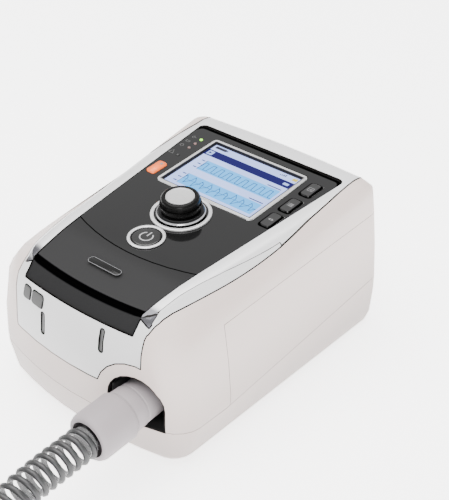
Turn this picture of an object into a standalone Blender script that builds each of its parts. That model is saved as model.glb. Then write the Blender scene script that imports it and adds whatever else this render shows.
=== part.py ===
"""Portable transport ventilator with a breathing hose.

Run with: blender --background --python part.py
Metres, +Z up, +Y towards the rear. The origin is on the surface that the feet stand on,
below the middle of the casing. The hose leaves the front and lies coiled on that surface.
"""
import bisect
import math

import bmesh
import bpy
from mathutils import Matrix, Vector

# Fits shared by all the pieces
GAP = 0.0003
OVERRUN = 0.004
SEGMENTS = 24
RING_SEGMENTS = 28
TUBE_SEGMENTS = 16
SMALL_SEGMENTS = 10
WELD = 0.00001
SMOOTH_ANGLE = math.radians(35)
FLAT_ANGLE = math.radians(0.15)
EDGE = 0.0004

# Casing
CASE_WIDTH = 0.1712
CASE_LENGTH = 0.233
CASE_HEIGHT = 0.119
CASE_WALL = 0.0025
FRONT_DROP = 0.005
DROP_LENGTH_SHARE = 0.38627
REAR_BOW = 0.003

# Control panel: its own plane leans down towards the front
PANEL_TILT = math.radians(2.5)
SCREEN_MIDDLE_Y_SHARE = 0.40601
PANEL_RISE = 0.0002
PANEL_RECESS = 0.0004
PANEL_THICKNESS = 0.0025
PANEL_REAR_Y_SHARE = 0.75966
PANEL_REAR_HALF_SHARE = 0.74766
PANEL_FRONT_HALF_SHARE = 0.55491
PANEL_CORNER = 0.005
LID_SEAM_SIDE_V_SHARE = -0.84292
LID_SEAM_SAG_SHARE = 0.06695
FASCIA_LOW_Z_SHARE = 0.82353
TRENCH_WIDTH = 0.0032
TRENCH_DEPTH = 0.0015

# Seams of the casing
BASE_SEAM_FRONT_Z_SHARE = 0.28571
BASE_SEAM_LOW_Z_SHARE = 0.2521
BASE_SEAM_LOW_Y_SHARE = -0.52361
BASE_SEAM_REAR_Z_SHARE = 0.34874
SIDE_SEAM_Y_SHARE = -0.48927
SIDE_SEAM_TOP_Z_SHARE = 0.78571
SIDE_SEAM_TOP_REAR_Z_SHARE = 0.81092
CROWN_MIDDLE_HALF_SHARE = 0.83178
CROWN_FRONT_HALF_SHARE = 0.65421
CROWN_REAR_HALF_SHARE = 0.80958
CROWN_MIDDLE_Y_SHARE = 0.103
CROWN_FRONT_LOW_Z_SHARE = 0.84034
CROWN_REAR_LOW_Z_SHARE = 0.89076
TRIM_FRONT_HALF_SHARE = 0.63668
TRIM_BLEND_END_Y_SHARE = 0.24034
TRIM_REAR_HALF_SHARE = 0.81776
TRIM_FRONT_Y_SHARE = -0.83262
ARM_END_Y_SHARE = 0.103

# Front cover with its slots and the two small connector plugs
COVER_LOW_Z_SHARE = 0.47899
COVER_ARCH_MARGIN = 0.0082
SLOT_WIDTH = 0.0032
SLOT_LENGTH_SHARE = 0.13445
SLOT_SPREAD_SHARE = 0.30374
SLOT_LEFT_Z_SHARE = 0.63025
SLOT_RIGHT_Z_SHARE = 0.72689
PLUG_HEIGHT_SHARE = 0.06891
LEFT_PLUG_WIDTH_SHARE = 0.07593
RIGHT_PLUG_WIDTH_SHARE = 0.12266
LEFT_PLUG_X_SHARE = -0.5
RIGHT_PLUG_X_SHARE = -0.37383
PLUG_CORNER = 0.002
PLUG_RISE = 0.0008
PLUGS_Z_SHARE = 0.7521

# Screen, in the panel's own plane with its origin in the middle of the screen
SCREEN_WIDTH_SHARE = 0.98364
SCREEN_HEIGHT_SHARE = 0.55966
SCREEN_CORNER = 0.003
SCREEN_FRAME = 0.0026
BEZEL_RISE = 0.0005
WINDOW_THICKNESS = 0.0016
LCD_LAP = 0.001

# Dial with its push function
DIAL_V_SHARE = -0.46009
DIAL_TRAVEL = 0.0008
DIAL_RING_RADIUS_SHARE = 0.1794
DIAL_RING_WIDTH = 0.0026
RING_RISE = 0.0012
SKIRT_CLEARANCE = 0.0015
SKIRT_TAPER = 0.0016
SKIRT_HEIGHT = 0.0026
DRUM_INSET = 0.0016
DRUM_HEIGHT = 0.0100
DRUM_CHAMFER = 0.0016
CAP_INSET = 0.0038
CAP_THICKNESS = 0.0016
CAP_SINK = 0.0006
SHAFT_RADIUS = 0.003
ENCODER_WIDTH = 0.0124

# Push keys
KEY_TRAVEL = 0.0007
KEY_RISE = 0.0006
KEY_CLEARANCE = 0.0003
KEY_FLANGE = 0.0010
KEY_FLANGE_THICKNESS = 0.0014
KEY_STEM_RADIUS = 0.002
KEY_WIDTH_SHARE = 0.08528
KEY_LENGTH_SHARE = 0.12876
KEY_CORNER = 0.0016
MENU_KEY_U_SHARE = 0.61215
MENU_KEY_V_SHARES = (0.1794, -0.01888, -0.20172)
ALARM_KEY_U_SHARE = -0.60514
ALARM_KEY_V_SHARE = -0.18197
POWER_V_SHARE = -0.75279
POWER_CLEARANCE = 0.0009
POWER_RING_RADIUS_SHARE = 0.10987
POWER_RING_WIDTH = 0.0022
LIGHT_U_SHARE = -0.59579
LIGHT_V_SHARES = (0.22575, 0.16738, 0.10987, 0.00343)
LIGHT_RADIUS = 0.0012
LIGHT_RISE = 0.0001

# Frame and key board below the panel
TRAY_LAP = 0.001
TRAY_REACH = 0.002
TRAY_FRONT_V_SHARE = -0.88841
TRAY_BAR = 0.004
BOARD_THICKNESS = 0.0016
KEY_BOARD_DEPTH = 0.009

# Breathing outlet
PORT_X_SHARE = 0.60397
PORT_HALF = 0.0203
PORT_ARCH_Z_SHARE = 0.41765
PORT_SILL = 0.0153
PORT_DEPTH = 0.0345
LINER_WALL = 0.001
LINER_INSET = 0.0006
OUTLET_X_SHARE = 0.58879
OUTLET_Z_SHARE = 0.40168
OUTLET_RADIUS = 0.011
OUTLET_BORE = 0.009
OUTLET_FLANGE_RADIUS = 0.013
OUTLET_FLANGE = 0.003
OUTLET_REACH = 0.026
OUTLET_TAIL = 0.010

# Hose cuffs of soft rubber, turned round the hose's line
CUFF_SEAT = 0.0028
CUFF_LENGTH = 0.0622
CUFF_NECK_RADIUS = 0.0126
CUFF_NECK_LENGTH = 0.0225
CUFF_COLLAR_RADIUS = 0.0148
CUFF_COLLAR_LENGTH = 0.0115
CUFF_BODY_RADIUS = 0.0166
CUFF_ROUND = 0.004
CUFF_SOCKET = 0.020
FAR_CUFF_LENGTH = 0.042
FAR_CUFF_RADIUS = 0.0142
FAR_CUFF_LIP = 0.0006
FAR_CUFF_LIP_LENGTH = 0.006

# Breathing hose
HOSE_RADIUS = 0.0117
HOSE_VALLEY_RADIUS = 0.0103
HOSE_BORE = 0.008
RIB_PITCH = 0.0135
BORE_STEP = 0.025
COIL_RADIUS = 0.120
COIL_INNER_RADIUS = 0.096
COIL_UPPER_RADIUS = 0.108
COIL_TURNS = 2.25
COIL_LEAD = 0.1859
# Where the coil's turns change, in turns from its start: from, to
COIL_INWARD = (0.5, 1.0)
COIL_CLIMB = (1.36, 1.78)
COIL_OUTWARD = (1.60, 2.05)
COIL_SETTLE = (1.85, 2.15)
COIL_LAST_CLIMB = (1.95, 2.25)
# Heights of the coil's middle line over its lowest turn
COIL_CROSSING_RISE = 0.0245
COIL_GROOVE_RISE = 0.0213
COIL_END_RISE = 0.0264
FLOOR_LIFT = 0.0003
LINE_STEP = 0.002
# The route of the free stretch from the cuff down to the floor: y, z
HOSE_ROUTE = (
    (-0.1506, 0.0478),
    (-0.1690, 0.0478),
    (-0.1870, 0.0478),
    (-0.2036, 0.0464),
    (-0.2203, 0.0426),
    (-0.2369, 0.0368),
    (-0.2535, 0.0299),
    (-0.2701, 0.0230),
    (-0.2868, 0.0172),
    (-0.3034, 0.0134),
    (-0.3200, 0.0120),
    (-0.3360, 0.0120),
)
HOSE_JOIN_LEAD = 0.1774

# Feet and screws
FOOT_RADIUS = 0.0075
FOOT_POCKET = 0.0016
FOOT_FRONT_X_SHARE = 0.63084
FOOT_REAR_X_SHARE = 0.70093
FOOT_FRONT_Y_SHARE = -0.51502
FOOT_REAR_Y_SHARE = 0.65236
SCREW_FRONT_X_SHARE = 0.65421
SCREW_REAR_X_SHARE = 0.73598
SCREW_FRONT_Y_SHARE = -0.72103
SCREW_REAR_Y_SHARE = 0.84549
SCREW_HEAD_RADIUS = 0.0028
SCREW_HEAD = 0.0016
SCREW_RADIUS = 0.0015
SCREW_LENGTH = 0.008
SCREW_SLOT = 0.0008
SCREW_BOSS_RADIUS = 0.0045
SCREW_BOSS_HEIGHT = 0.011

# Inside: blower, power supply, battery, silencer and main board
BLOWER_X_SHARE = 0.33178
BLOWER_Y_SHARE = -0.0515
BLOWER_RADIUS = 0.033
BLOWER_WALL = 0.0025
BLOWER_DROP = 0.0138
BLOWER_HEIGHT = 0.0315
BLOWER_INLET_RADIUS = 0.012
NOZZLE_CLEARANCE = 0.002
DUCT_WALL = 0.0022
DUCT_CLEARANCE = 0.005
IMPELLER_RADIUS = 0.0265
IMPELLER_HUB_RADIUS = 0.009
IMPELLER_DISC = 0.002
IMPELLER_LIFT = 0.0015
BLADE_COUNT = 9
BLADE_HEIGHT = 0.012
BLADE_THICKNESS = 0.0016
BLADE_SWEEP = math.radians(28)
MOTOR_RADIUS = 0.016
MOTOR_SHAFT_RADIUS = 0.002
BOX_CORNER = 0.003
SUPPLY_WIDTH_SHARE = 0.7243
SUPPLY_LENGTH_SHARE = 0.60086
SUPPLY_HEIGHT_SHARE = 0.33613
SUPPLY_X_SHARE = -0.49065
SUPPLY_Y_SHARE = 0.4721
BATTERY_SIDE_SHARE = 0.74766
BATTERY_LENGTH_SHARE = 0.7382
BATTERY_HEIGHT_SHARE = 0.43697
BATTERY_CLEARANCE = 0.0054
BATTERY_Y_SHARE = -0.28326
SILENCER_WIDTH_SHARE = 0.67757
SILENCER_REAR_SHARE = 0.77253
SILENCER_HEIGHT_SHARE = 0.47059
SILENCER_X_SHARE = 0.47897
SILENCER_CLEARANCE = 0.003
SILENCER_WALL = 0.003
SILENCER_INLET_WIDTH_SHARE = 0.42056
SILENCER_INLET_HEIGHT_SHARE = 0.20168
MAIN_BOARD_WIDTH_SHARE = 1.61215
MAIN_BOARD_Z_SHARE = 0.62185
CHIP_WIDTH = 0.022
CHIP_HEIGHT = 0.003
POST_RADIUS = 0.0035
POST_INSET = 0.006

# Rear field: a flat area sunk into the rear wall, with its fittings
REAR_MARGIN = 0.005
FIELD_THICKNESS = 0.003
FIELD_HALF_SHARE = 0.79439
FIELD_LOW_Z_SHARE = 0.39076
FIELD_HIGH_Z_SHARE = 0.76891
FILTER_MARGIN = 0.002
FILTER_Z_SHARE = 0.57143
FILTER_WIDTH_SHARE = 0.60748
FILTER_HEIGHT_SHARE = 0.30252
FILTER_COVER = 0.0024
FILTER_THICKNESS = 0.008
FILTER_LIP = 0.002
FILTER_SLOTS = 7
FILTER_SLOT = 0.002
FILTER_SLOT_INSET = 0.005
INLET_MARGIN = 0.003
INLET_Z_SHARE = 0.5042
INLET_WIDTH = 0.044
INLET_HEIGHT_SHARE = 0.20168
INLET_DEPTH = 0.018
INLET_CORNER = 0.002
SOCKET_SHIFT = 0.0075
SOCKET_WIDTH = 0.024
SOCKET_HEIGHT = 0.0165
SOCKET_DEPTH = 0.015
PIN_SPREAD = 0.007
PIN_WIDTH = 0.002
PIN_HEIGHT = 0.004
PIN_LENGTH = 0.012
ROCKER_SHIFT = 0.0145
ROCKER_WIDTH = 0.0096
ROCKER_HEIGHT = 0.0160
ROCKER_DEPTH = 0.008
ROCKER_CREST = 0.0012
ROCKER_PLAY = 0.0011
ROCKER_ANGLE = math.radians(6)
OXYGEN_Z_SHARE = 0.5042
OXYGEN_RADIUS = 0.0048
OXYGEN_BORE = 0.0024
OXYGEN_REACH = 0.0045
OXYGEN_TAIL = 0.010
OXYGEN_FLANGE_RADIUS = 0.0075
OXYGEN_FLANGE = 0.0016
DATA_COVER_Z_SHARE = 0.69328
DATA_COVER_WIDTH = 0.034
DATA_COVER_HEIGHT_SHARE = 0.10084
DATA_COVER_THICKNESS = 0.0024
DATA_COVER_CORNER = 0.003

# The casing's outline at rising heights, as shares: height of the local top; half width in
# front and at the rear, of half the casing's width; front and rear ends, of half its length;
# how far the front is bowed, and the corners' reach in front and at the rear, of half its width
SKIN_SHARES = (
    (0.0125, 0.847, 0.946, 0.888, 0.949, 0.117, 0.117, 0.105),
    (0.0300, 0.888, 0.976, 0.923, 0.970, 0.123, 0.129, 0.105),
    (0.0800, 0.935, 0.993, 0.957, 0.987, 0.140, 0.140, 0.105),
    (0.2400, 0.985, 1.000, 0.996, 1.000, 0.181, 0.152, 0.105),
    (0.3300, 0.993, 1.000, 1.000, 1.000, 0.187, 0.164, 0.105),
    (0.5600, 0.970, 0.986, 0.991, 0.991, 0.164, 0.187, 0.105),
    (0.8100, 0.923, 0.964, 0.961, 0.974, 0.129, 0.222, 0.111),
    (0.9050, 0.829, 0.961, 0.934, 0.961, 0.099, 0.210, 0.117),
    (0.9500, 0.701, 0.950, 0.908, 0.949, 0.076, 0.210, 0.094),
    (0.9850, 0.648, 0.911, 0.876, 0.919, 0.058, 0.164, 0.105),
    (1.0000, 0.631, 0.841, 0.846, 0.884, 0.053, 0.070, 0.140),
)
# Rings that close the top, as shares of the top ring's spread
TOP_RING_SHARES = (0.93, 0.81, 0.67, 0.50)
CORNER_BULGE_SHARE = 0.55
FRONT_STEPS = 4
CORNER_STEPS = 4
ARCH_STEPS = 12

HALF_WIDTH = CASE_WIDTH / 2
HALF_LENGTH = CASE_LENGTH / 2

# Places and sizes that follow the casing's width
PANEL_REAR_HALF = PANEL_REAR_HALF_SHARE * HALF_WIDTH
PANEL_FRONT_HALF = PANEL_FRONT_HALF_SHARE * HALF_WIDTH
CROWN_MIDDLE_HALF = CROWN_MIDDLE_HALF_SHARE * HALF_WIDTH
CROWN_FRONT_HALF = CROWN_FRONT_HALF_SHARE * HALF_WIDTH
CROWN_REAR_HALF = CROWN_REAR_HALF_SHARE * HALF_WIDTH
TRIM_FRONT_HALF = TRIM_FRONT_HALF_SHARE * HALF_WIDTH
TRIM_REAR_HALF = TRIM_REAR_HALF_SHARE * HALF_WIDTH
SLOT_SPREAD = SLOT_SPREAD_SHARE * HALF_WIDTH
LEFT_PLUG_WIDTH = LEFT_PLUG_WIDTH_SHARE * HALF_WIDTH
RIGHT_PLUG_WIDTH = RIGHT_PLUG_WIDTH_SHARE * HALF_WIDTH
LEFT_PLUG_X = LEFT_PLUG_X_SHARE * HALF_WIDTH
RIGHT_PLUG_X = RIGHT_PLUG_X_SHARE * HALF_WIDTH
SCREEN_WIDTH = SCREEN_WIDTH_SHARE * HALF_WIDTH
KEY_WIDTH = KEY_WIDTH_SHARE * HALF_WIDTH
MENU_KEY_U = MENU_KEY_U_SHARE * HALF_WIDTH
ALARM_KEY_U = ALARM_KEY_U_SHARE * HALF_WIDTH
LIGHT_U = LIGHT_U_SHARE * HALF_WIDTH
PORT_X = PORT_X_SHARE * HALF_WIDTH
OUTLET_X = OUTLET_X_SHARE * HALF_WIDTH
FOOT_FRONT_X = FOOT_FRONT_X_SHARE * HALF_WIDTH
FOOT_REAR_X = FOOT_REAR_X_SHARE * HALF_WIDTH
SCREW_FRONT_X = SCREW_FRONT_X_SHARE * HALF_WIDTH
SCREW_REAR_X = SCREW_REAR_X_SHARE * HALF_WIDTH
BLOWER_X = BLOWER_X_SHARE * HALF_WIDTH
SUPPLY_WIDTH = SUPPLY_WIDTH_SHARE * HALF_WIDTH
SUPPLY_X = SUPPLY_X_SHARE * HALF_WIDTH
SILENCER_WIDTH = SILENCER_WIDTH_SHARE * HALF_WIDTH
SILENCER_X = SILENCER_X_SHARE * HALF_WIDTH
SILENCER_INLET_WIDTH = SILENCER_INLET_WIDTH_SHARE * HALF_WIDTH
MAIN_BOARD_WIDTH = MAIN_BOARD_WIDTH_SHARE * HALF_WIDTH
FIELD_HALF = FIELD_HALF_SHARE * HALF_WIDTH
FILTER_WIDTH = FILTER_WIDTH_SHARE * HALF_WIDTH

# Places and sizes that follow the casing's length
SCREEN_MIDDLE_Y = SCREEN_MIDDLE_Y_SHARE * HALF_LENGTH
PANEL_REAR_Y = PANEL_REAR_Y_SHARE * HALF_LENGTH
LID_SEAM_SIDE_V = LID_SEAM_SIDE_V_SHARE * HALF_LENGTH
LID_SEAM_SAG = LID_SEAM_SAG_SHARE * HALF_LENGTH
BASE_SEAM_LOW_Y = BASE_SEAM_LOW_Y_SHARE * HALF_LENGTH
SIDE_SEAM_Y = SIDE_SEAM_Y_SHARE * HALF_LENGTH
CROWN_MIDDLE_Y = CROWN_MIDDLE_Y_SHARE * HALF_LENGTH
TRIM_BLEND_END_Y = TRIM_BLEND_END_Y_SHARE * HALF_LENGTH
TRIM_FRONT_Y = TRIM_FRONT_Y_SHARE * HALF_LENGTH
ARM_END_Y = ARM_END_Y_SHARE * HALF_LENGTH
DROP_LENGTH = DROP_LENGTH_SHARE * HALF_LENGTH
SCREEN_HEIGHT = SCREEN_HEIGHT_SHARE * HALF_LENGTH
DIAL_V = DIAL_V_SHARE * HALF_LENGTH
DIAL_RING_RADIUS = DIAL_RING_RADIUS_SHARE * HALF_LENGTH
KEY_LENGTH = KEY_LENGTH_SHARE * HALF_LENGTH
MENU_KEY_VS = tuple(share * HALF_LENGTH for share in MENU_KEY_V_SHARES)
ALARM_KEY_V = ALARM_KEY_V_SHARE * HALF_LENGTH
POWER_V = POWER_V_SHARE * HALF_LENGTH
POWER_RING_RADIUS = POWER_RING_RADIUS_SHARE * HALF_LENGTH
LIGHT_VS = tuple(share * HALF_LENGTH for share in LIGHT_V_SHARES)
TRAY_FRONT_V = TRAY_FRONT_V_SHARE * HALF_LENGTH
FOOT_FRONT_Y = FOOT_FRONT_Y_SHARE * HALF_LENGTH
FOOT_REAR_Y = FOOT_REAR_Y_SHARE * HALF_LENGTH
SCREW_FRONT_Y = SCREW_FRONT_Y_SHARE * HALF_LENGTH
SCREW_REAR_Y = SCREW_REAR_Y_SHARE * HALF_LENGTH
BLOWER_Y = BLOWER_Y_SHARE * HALF_LENGTH
SUPPLY_LENGTH = SUPPLY_LENGTH_SHARE * HALF_LENGTH
SUPPLY_Y = SUPPLY_Y_SHARE * HALF_LENGTH
BATTERY_LENGTH = BATTERY_LENGTH_SHARE * HALF_LENGTH
BATTERY_Y = BATTERY_Y_SHARE * HALF_LENGTH

# Places and sizes that follow the casing's height
FASCIA_LOW_Z = FASCIA_LOW_Z_SHARE * CASE_HEIGHT
BASE_SEAM_FRONT_Z = BASE_SEAM_FRONT_Z_SHARE * CASE_HEIGHT
BASE_SEAM_LOW_Z = BASE_SEAM_LOW_Z_SHARE * CASE_HEIGHT
BASE_SEAM_REAR_Z = BASE_SEAM_REAR_Z_SHARE * CASE_HEIGHT
SIDE_SEAM_TOP_Z = SIDE_SEAM_TOP_Z_SHARE * CASE_HEIGHT
SIDE_SEAM_TOP_REAR_Z = SIDE_SEAM_TOP_REAR_Z_SHARE * CASE_HEIGHT
CROWN_FRONT_LOW_Z = CROWN_FRONT_LOW_Z_SHARE * CASE_HEIGHT
CROWN_REAR_LOW_Z = CROWN_REAR_LOW_Z_SHARE * CASE_HEIGHT
COVER_LOW_Z = COVER_LOW_Z_SHARE * CASE_HEIGHT
SLOT_LENGTH = SLOT_LENGTH_SHARE * CASE_HEIGHT
SLOT_LEFT_Z = SLOT_LEFT_Z_SHARE * CASE_HEIGHT
SLOT_RIGHT_Z = SLOT_RIGHT_Z_SHARE * CASE_HEIGHT
PLUG_HEIGHT = PLUG_HEIGHT_SHARE * CASE_HEIGHT
PLUGS_Z = PLUGS_Z_SHARE * CASE_HEIGHT
PORT_ARCH_Z = PORT_ARCH_Z_SHARE * CASE_HEIGHT
OUTLET_Z = OUTLET_Z_SHARE * CASE_HEIGHT
SUPPLY_HEIGHT = SUPPLY_HEIGHT_SHARE * CASE_HEIGHT
BATTERY_HEIGHT = BATTERY_HEIGHT_SHARE * CASE_HEIGHT
SILENCER_HEIGHT = SILENCER_HEIGHT_SHARE * CASE_HEIGHT
SILENCER_INLET_HEIGHT = SILENCER_INLET_HEIGHT_SHARE * CASE_HEIGHT
MAIN_BOARD_Z = MAIN_BOARD_Z_SHARE * CASE_HEIGHT
FIELD_LOW_Z = FIELD_LOW_Z_SHARE * CASE_HEIGHT
FIELD_HIGH_Z = FIELD_HIGH_Z_SHARE * CASE_HEIGHT
FILTER_Z = FILTER_Z_SHARE * CASE_HEIGHT
FILTER_HEIGHT = FILTER_HEIGHT_SHARE * CASE_HEIGHT
INLET_Z = INLET_Z_SHARE * CASE_HEIGHT
INLET_HEIGHT = INLET_HEIGHT_SHARE * CASE_HEIGHT
OXYGEN_Z = OXYGEN_Z_SHARE * CASE_HEIGHT
DATA_COVER_Z = DATA_COVER_Z_SHARE * CASE_HEIGHT
DATA_COVER_HEIGHT = DATA_COVER_HEIGHT_SHARE * CASE_HEIGHT

# Places and sizes that follow a neighbour
SCREEN_MIDDLE_Z = CASE_HEIGHT + PANEL_RISE
WINDOW_WIDTH = SCREEN_WIDTH - 2 * SCREEN_FRAME
WINDOW_HEIGHT = SCREEN_HEIGHT - 2 * SCREEN_FRAME
SKIRT_RADIUS = DIAL_RING_RADIUS - DIAL_RING_WIDTH - SKIRT_CLEARANCE
SKIRT_TOP_RADIUS = SKIRT_RADIUS - SKIRT_TAPER
DRUM_RADIUS = SKIRT_TOP_RADIUS - DRUM_INSET
CAP_RADIUS = DRUM_RADIUS - CAP_INSET
POWER_RADIUS = POWER_RING_RADIUS - POWER_RING_WIDTH - POWER_CLEARANCE
PORT_LOW_Z = OUTLET_Z - PORT_SILL
PORT_FLOOR_Y = PORT_DEPTH - HALF_LENGTH
BLOWER_FLOOR_Z = OUTLET_Z - BLOWER_DROP
BLOWER_TOP_Z = BLOWER_FLOOR_Z + BLOWER_HEIGHT
NOZZLE_REACH = BLOWER_Y - PORT_FLOOR_Y - OUTLET_TAIL - NOZZLE_CLEARANCE
BATTERY_LEFT = -BATTERY_SIDE_SHARE * HALF_WIDTH
BATTERY_RIGHT = BLOWER_X - BLOWER_RADIUS - BATTERY_CLEARANCE
BATTERY_WIDTH = BATTERY_RIGHT - BATTERY_LEFT
BATTERY_X = (BATTERY_RIGHT + BATTERY_LEFT) / 2
SILENCER_FRONT = BLOWER_Y + BLOWER_RADIUS + SILENCER_CLEARANCE
SILENCER_REAR = SILENCER_REAR_SHARE * HALF_LENGTH
SILENCER_LENGTH = SILENCER_REAR - SILENCER_FRONT
SILENCER_Y = (SILENCER_REAR + SILENCER_FRONT) / 2
FILTER_X = FIELD_HALF - FILTER_MARGIN - FILTER_WIDTH / 2
INLET_X = INLET_MARGIN + INLET_WIDTH / 2 - FIELD_HALF
OXYGEN_X = (INLET_X + INLET_WIDTH / 2 + FILTER_X - FILTER_WIDTH / 2) / 2

# Levels and limits of the casing and the outlet
REAR_Y = HALF_LENGTH - REAR_MARGIN
BOTTOM_Z = SKIN_SHARES[0][0] * CASE_HEIGHT
DROP_START_Y = DROP_LENGTH - HALF_LENGTH * SKIN_SHARES[-1][3]
FLOOR_Z = BOTTOM_Z + CASE_WALL
PANEL_UNDER = PANEL_RECESS + PANEL_THICKNESS
CUFF_START = -PORT_FLOOR_Y + GAP + OUTLET_FLANGE + CUFF_SEAT
LINER_FRONT_Y = GAP - CUFF_START - CUFF_NECK_LENGTH
HOSE_START_Y = -CUFF_START - CUFF_LENGTH - GAP
HOSE_JOIN_Y = HOSE_START_Y - HOSE_JOIN_LEAD
COIL_START_Y = HOSE_START_Y - COIL_LEAD

# The keys: name, place across and up the panel, finish
KEYS = (
    ("menu_key_upper", MENU_KEY_U, MENU_KEY_VS[0], "panel_dark"),
    ("menu_key_middle", MENU_KEY_U, MENU_KEY_VS[1], "panel_dark"),
    ("menu_key_lower", MENU_KEY_U, MENU_KEY_VS[2], "panel_dark"),
    ("alarm_key", ALARM_KEY_U, ALARM_KEY_V, "key_orange"),
)
# The plugs of the small pressure connectors: name, place across, width
PLUGS = (
    ("pressure_port_plug_left", LEFT_PLUG_X, LEFT_PLUG_WIDTH),
    ("pressure_port_plug_right", RIGHT_PLUG_X, RIGHT_PLUG_WIDTH),
)

# Sheet colours, roughness and metallic of every material
FINISHES = {
    "case_white": ((0.76, 0.73, 0.71), 0.45, 0.0),
    "cover_grey": ((0.68, 0.68, 0.68), 0.45, 0.0),
    "trim_silver": ((0.66, 0.66, 0.66), 0.35, 0.4),
    "panel_dark": ((0.07, 0.07, 0.07), 0.5, 0.0),
    "gloss_black": ((0.012, 0.012, 0.014), 0.15, 0.0),
    "white_plastic": ((0.80, 0.80, 0.80), 0.35, 0.0),
    "screen_glass": ((0.55, 0.62, 0.80), 0.08, 0.0),
    "silver_plastic": ((0.55, 0.55, 0.57), 0.25, 0.7),
    "rubber_black": ((0.02, 0.02, 0.02), 0.6, 0.0),
    "cap_grey": ((0.60, 0.60, 0.60), 0.4, 0.0),
    "key_orange": ((0.90, 0.32, 0.12), 0.45, 0.0),
    "light_green": ((0.45, 0.75, 0.15), 0.3, 0.0),
    "light_grey": ((0.35, 0.33, 0.33), 0.3, 0.0),
    "plug_grey": ((0.32, 0.32, 0.32), 0.55, 0.0),
    "cuff_grey": ((0.50, 0.47, 0.48), 0.55, 0.0),
    "hose_grey": ((0.17, 0.17, 0.17), 0.45, 0.0),
    "board_green": ((0.04, 0.22, 0.10), 0.5, 0.0),
    "steel": ((0.60, 0.60, 0.62), 0.3, 1.0),
    "module_grey": ((0.30, 0.31, 0.33), 0.5, 0.0),
    "filter_foam": ((0.80, 0.80, 0.78), 0.9, 0.0),
}


# Scene, collections and materials

for old in list(bpy.data.objects):
    bpy.data.objects.remove(old, do_unlink=True)

PARTS = bpy.data.collections.new("portable_transport_ventilator")
CUTTERS = bpy.data.collections.new("cutters")
bpy.context.scene.collection.children.link(PARTS)
bpy.context.scene.collection.children.link(CUTTERS)


def finish_material(finish):
    """One Principled material for each finish, made when it is first used."""
    found = bpy.data.materials.get(finish)
    if found:
        return found
    colour, roughness, metallic = FINISHES[finish]
    made = bpy.data.materials.new(finish)
    made.use_nodes = True
    shader = made.node_tree.nodes["Principled BSDF"]
    shader.inputs["Base Color"].default_value = (*colour, 1.0)
    shader.inputs["Roughness"].default_value = roughness
    shader.inputs["Metallic"].default_value = metallic
    made.diffuse_color = (*colour, 1.0)
    return made


def new_object(name, mesh, place=None):
    made = bpy.data.objects.new(name, mesh)
    CUTTERS.objects.link(made)
    made.display_type = "WIRE"
    made.hide_render = True
    if place is not None:
        made.matrix_world = place
    return made


def as_part(made, finish):
    """Moves a finished solid into the parts' collection and gives it its material."""
    bm = bmesh.new()
    bm.from_mesh(made.data)
    bmesh.ops.dissolve_limit(bm, angle_limit=FLAT_ANGLE, verts=bm.verts, edges=bm.edges)
    bm.to_mesh(made.data)
    bm.free()
    CUTTERS.objects.unlink(made)
    PARTS.objects.link(made)
    made.display_type = "TEXTURED"
    made.hide_render = False
    made.data.materials.clear()
    made.data.materials.append(finish_material(finish))
    made.data.shade_smooth()
    made.data.set_sharp_from_angle(angle=SMOOTH_ANGLE)
    return made


def mesh_from(bm, name):
    bmesh.ops.recalc_face_normals(bm, faces=bm.faces)
    mesh = bpy.data.meshes.new(name)
    bm.to_mesh(mesh)
    bm.free()
    return mesh


def settle(made):
    """Replaces an object's mesh with its evaluated one, so its modifiers or curve are used up."""
    bpy.context.view_layer.update()
    graph = bpy.context.evaluated_depsgraph_get()
    mesh = bpy.data.meshes.new_from_object(made.evaluated_get(graph))
    place = made.matrix_world.copy()
    name = made.name
    bpy.data.objects.remove(made, do_unlink=True)
    bm = bmesh.new()
    bm.from_mesh(mesh)
    bmesh.ops.remove_doubles(bm, verts=bm.verts, dist=WELD)
    bm.to_mesh(mesh)
    bm.free()
    return new_object(name, mesh, place)


def combine(made, other, operation, keep_other=False):
    modifier = made.modifiers.new(operation.lower(), "BOOLEAN")
    modifier.operation = operation
    modifier.object = other
    modifier.solver = "EXACT"
    made = settle(made)
    if not keep_other:
        bpy.data.objects.remove(other, do_unlink=True)
    return made


def cut(made, *cutters):
    for cutter in cutters:
        made = combine(made, cutter, "DIFFERENCE")
    return made


def fuse(made, *others):
    for other in others:
        made = combine(made, other, "UNION")
    return made


def common(made, *others):
    for other in others:
        made = combine(made, other, "INTERSECT")
    return made


def copy_of(made, name):
    return new_object(name, made.data.copy(), made.matrix_world.copy())


# Places and simple shapes

PANEL_PLACE = Matrix.Translation((0, SCREEN_MIDDLE_Y, SCREEN_MIDDLE_Z)) @ Matrix.Rotation(
    PANEL_TILT, 4, "X"
)
SIDEWAYS = Matrix(((0, 0, 1, 0), (1, 0, 0, 0), (0, 1, 0, 0), (0, 0, 0, 1)))
FORWARD = Matrix.Rotation(math.pi / 2, 4, "X")
REARWARD = Matrix(((-1, 0, 0, 0), (0, 0, 1, 0), (0, 1, 0, 0), (0, 0, 0, 1)))
OUTLET_PLACE = Matrix.Translation((OUTLET_X, 0, OUTLET_Z)) @ FORWARD


def at(x, y, z):
    return Matrix.Translation((x, y, z))


def on_panel(u, v, n=0.0):
    """A place in the panel's own plane: across, up the panel and out of it."""
    return PANEL_PLACE @ at(u, v, n)


def box(name, size, place):
    bm = bmesh.new()
    bmesh.ops.create_cube(bm, size=1.0)
    bmesh.ops.scale(bm, vec=size, verts=bm.verts)
    return new_object(name, mesh_from(bm, name), place)


def block(name, low, high):
    """A box between two opposite corners."""
    size = [b - a for a, b in zip(low, high)]
    middle = [(a + b) / 2 for a, b in zip(low, high)]
    return box(name, size, at(*middle))


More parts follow.
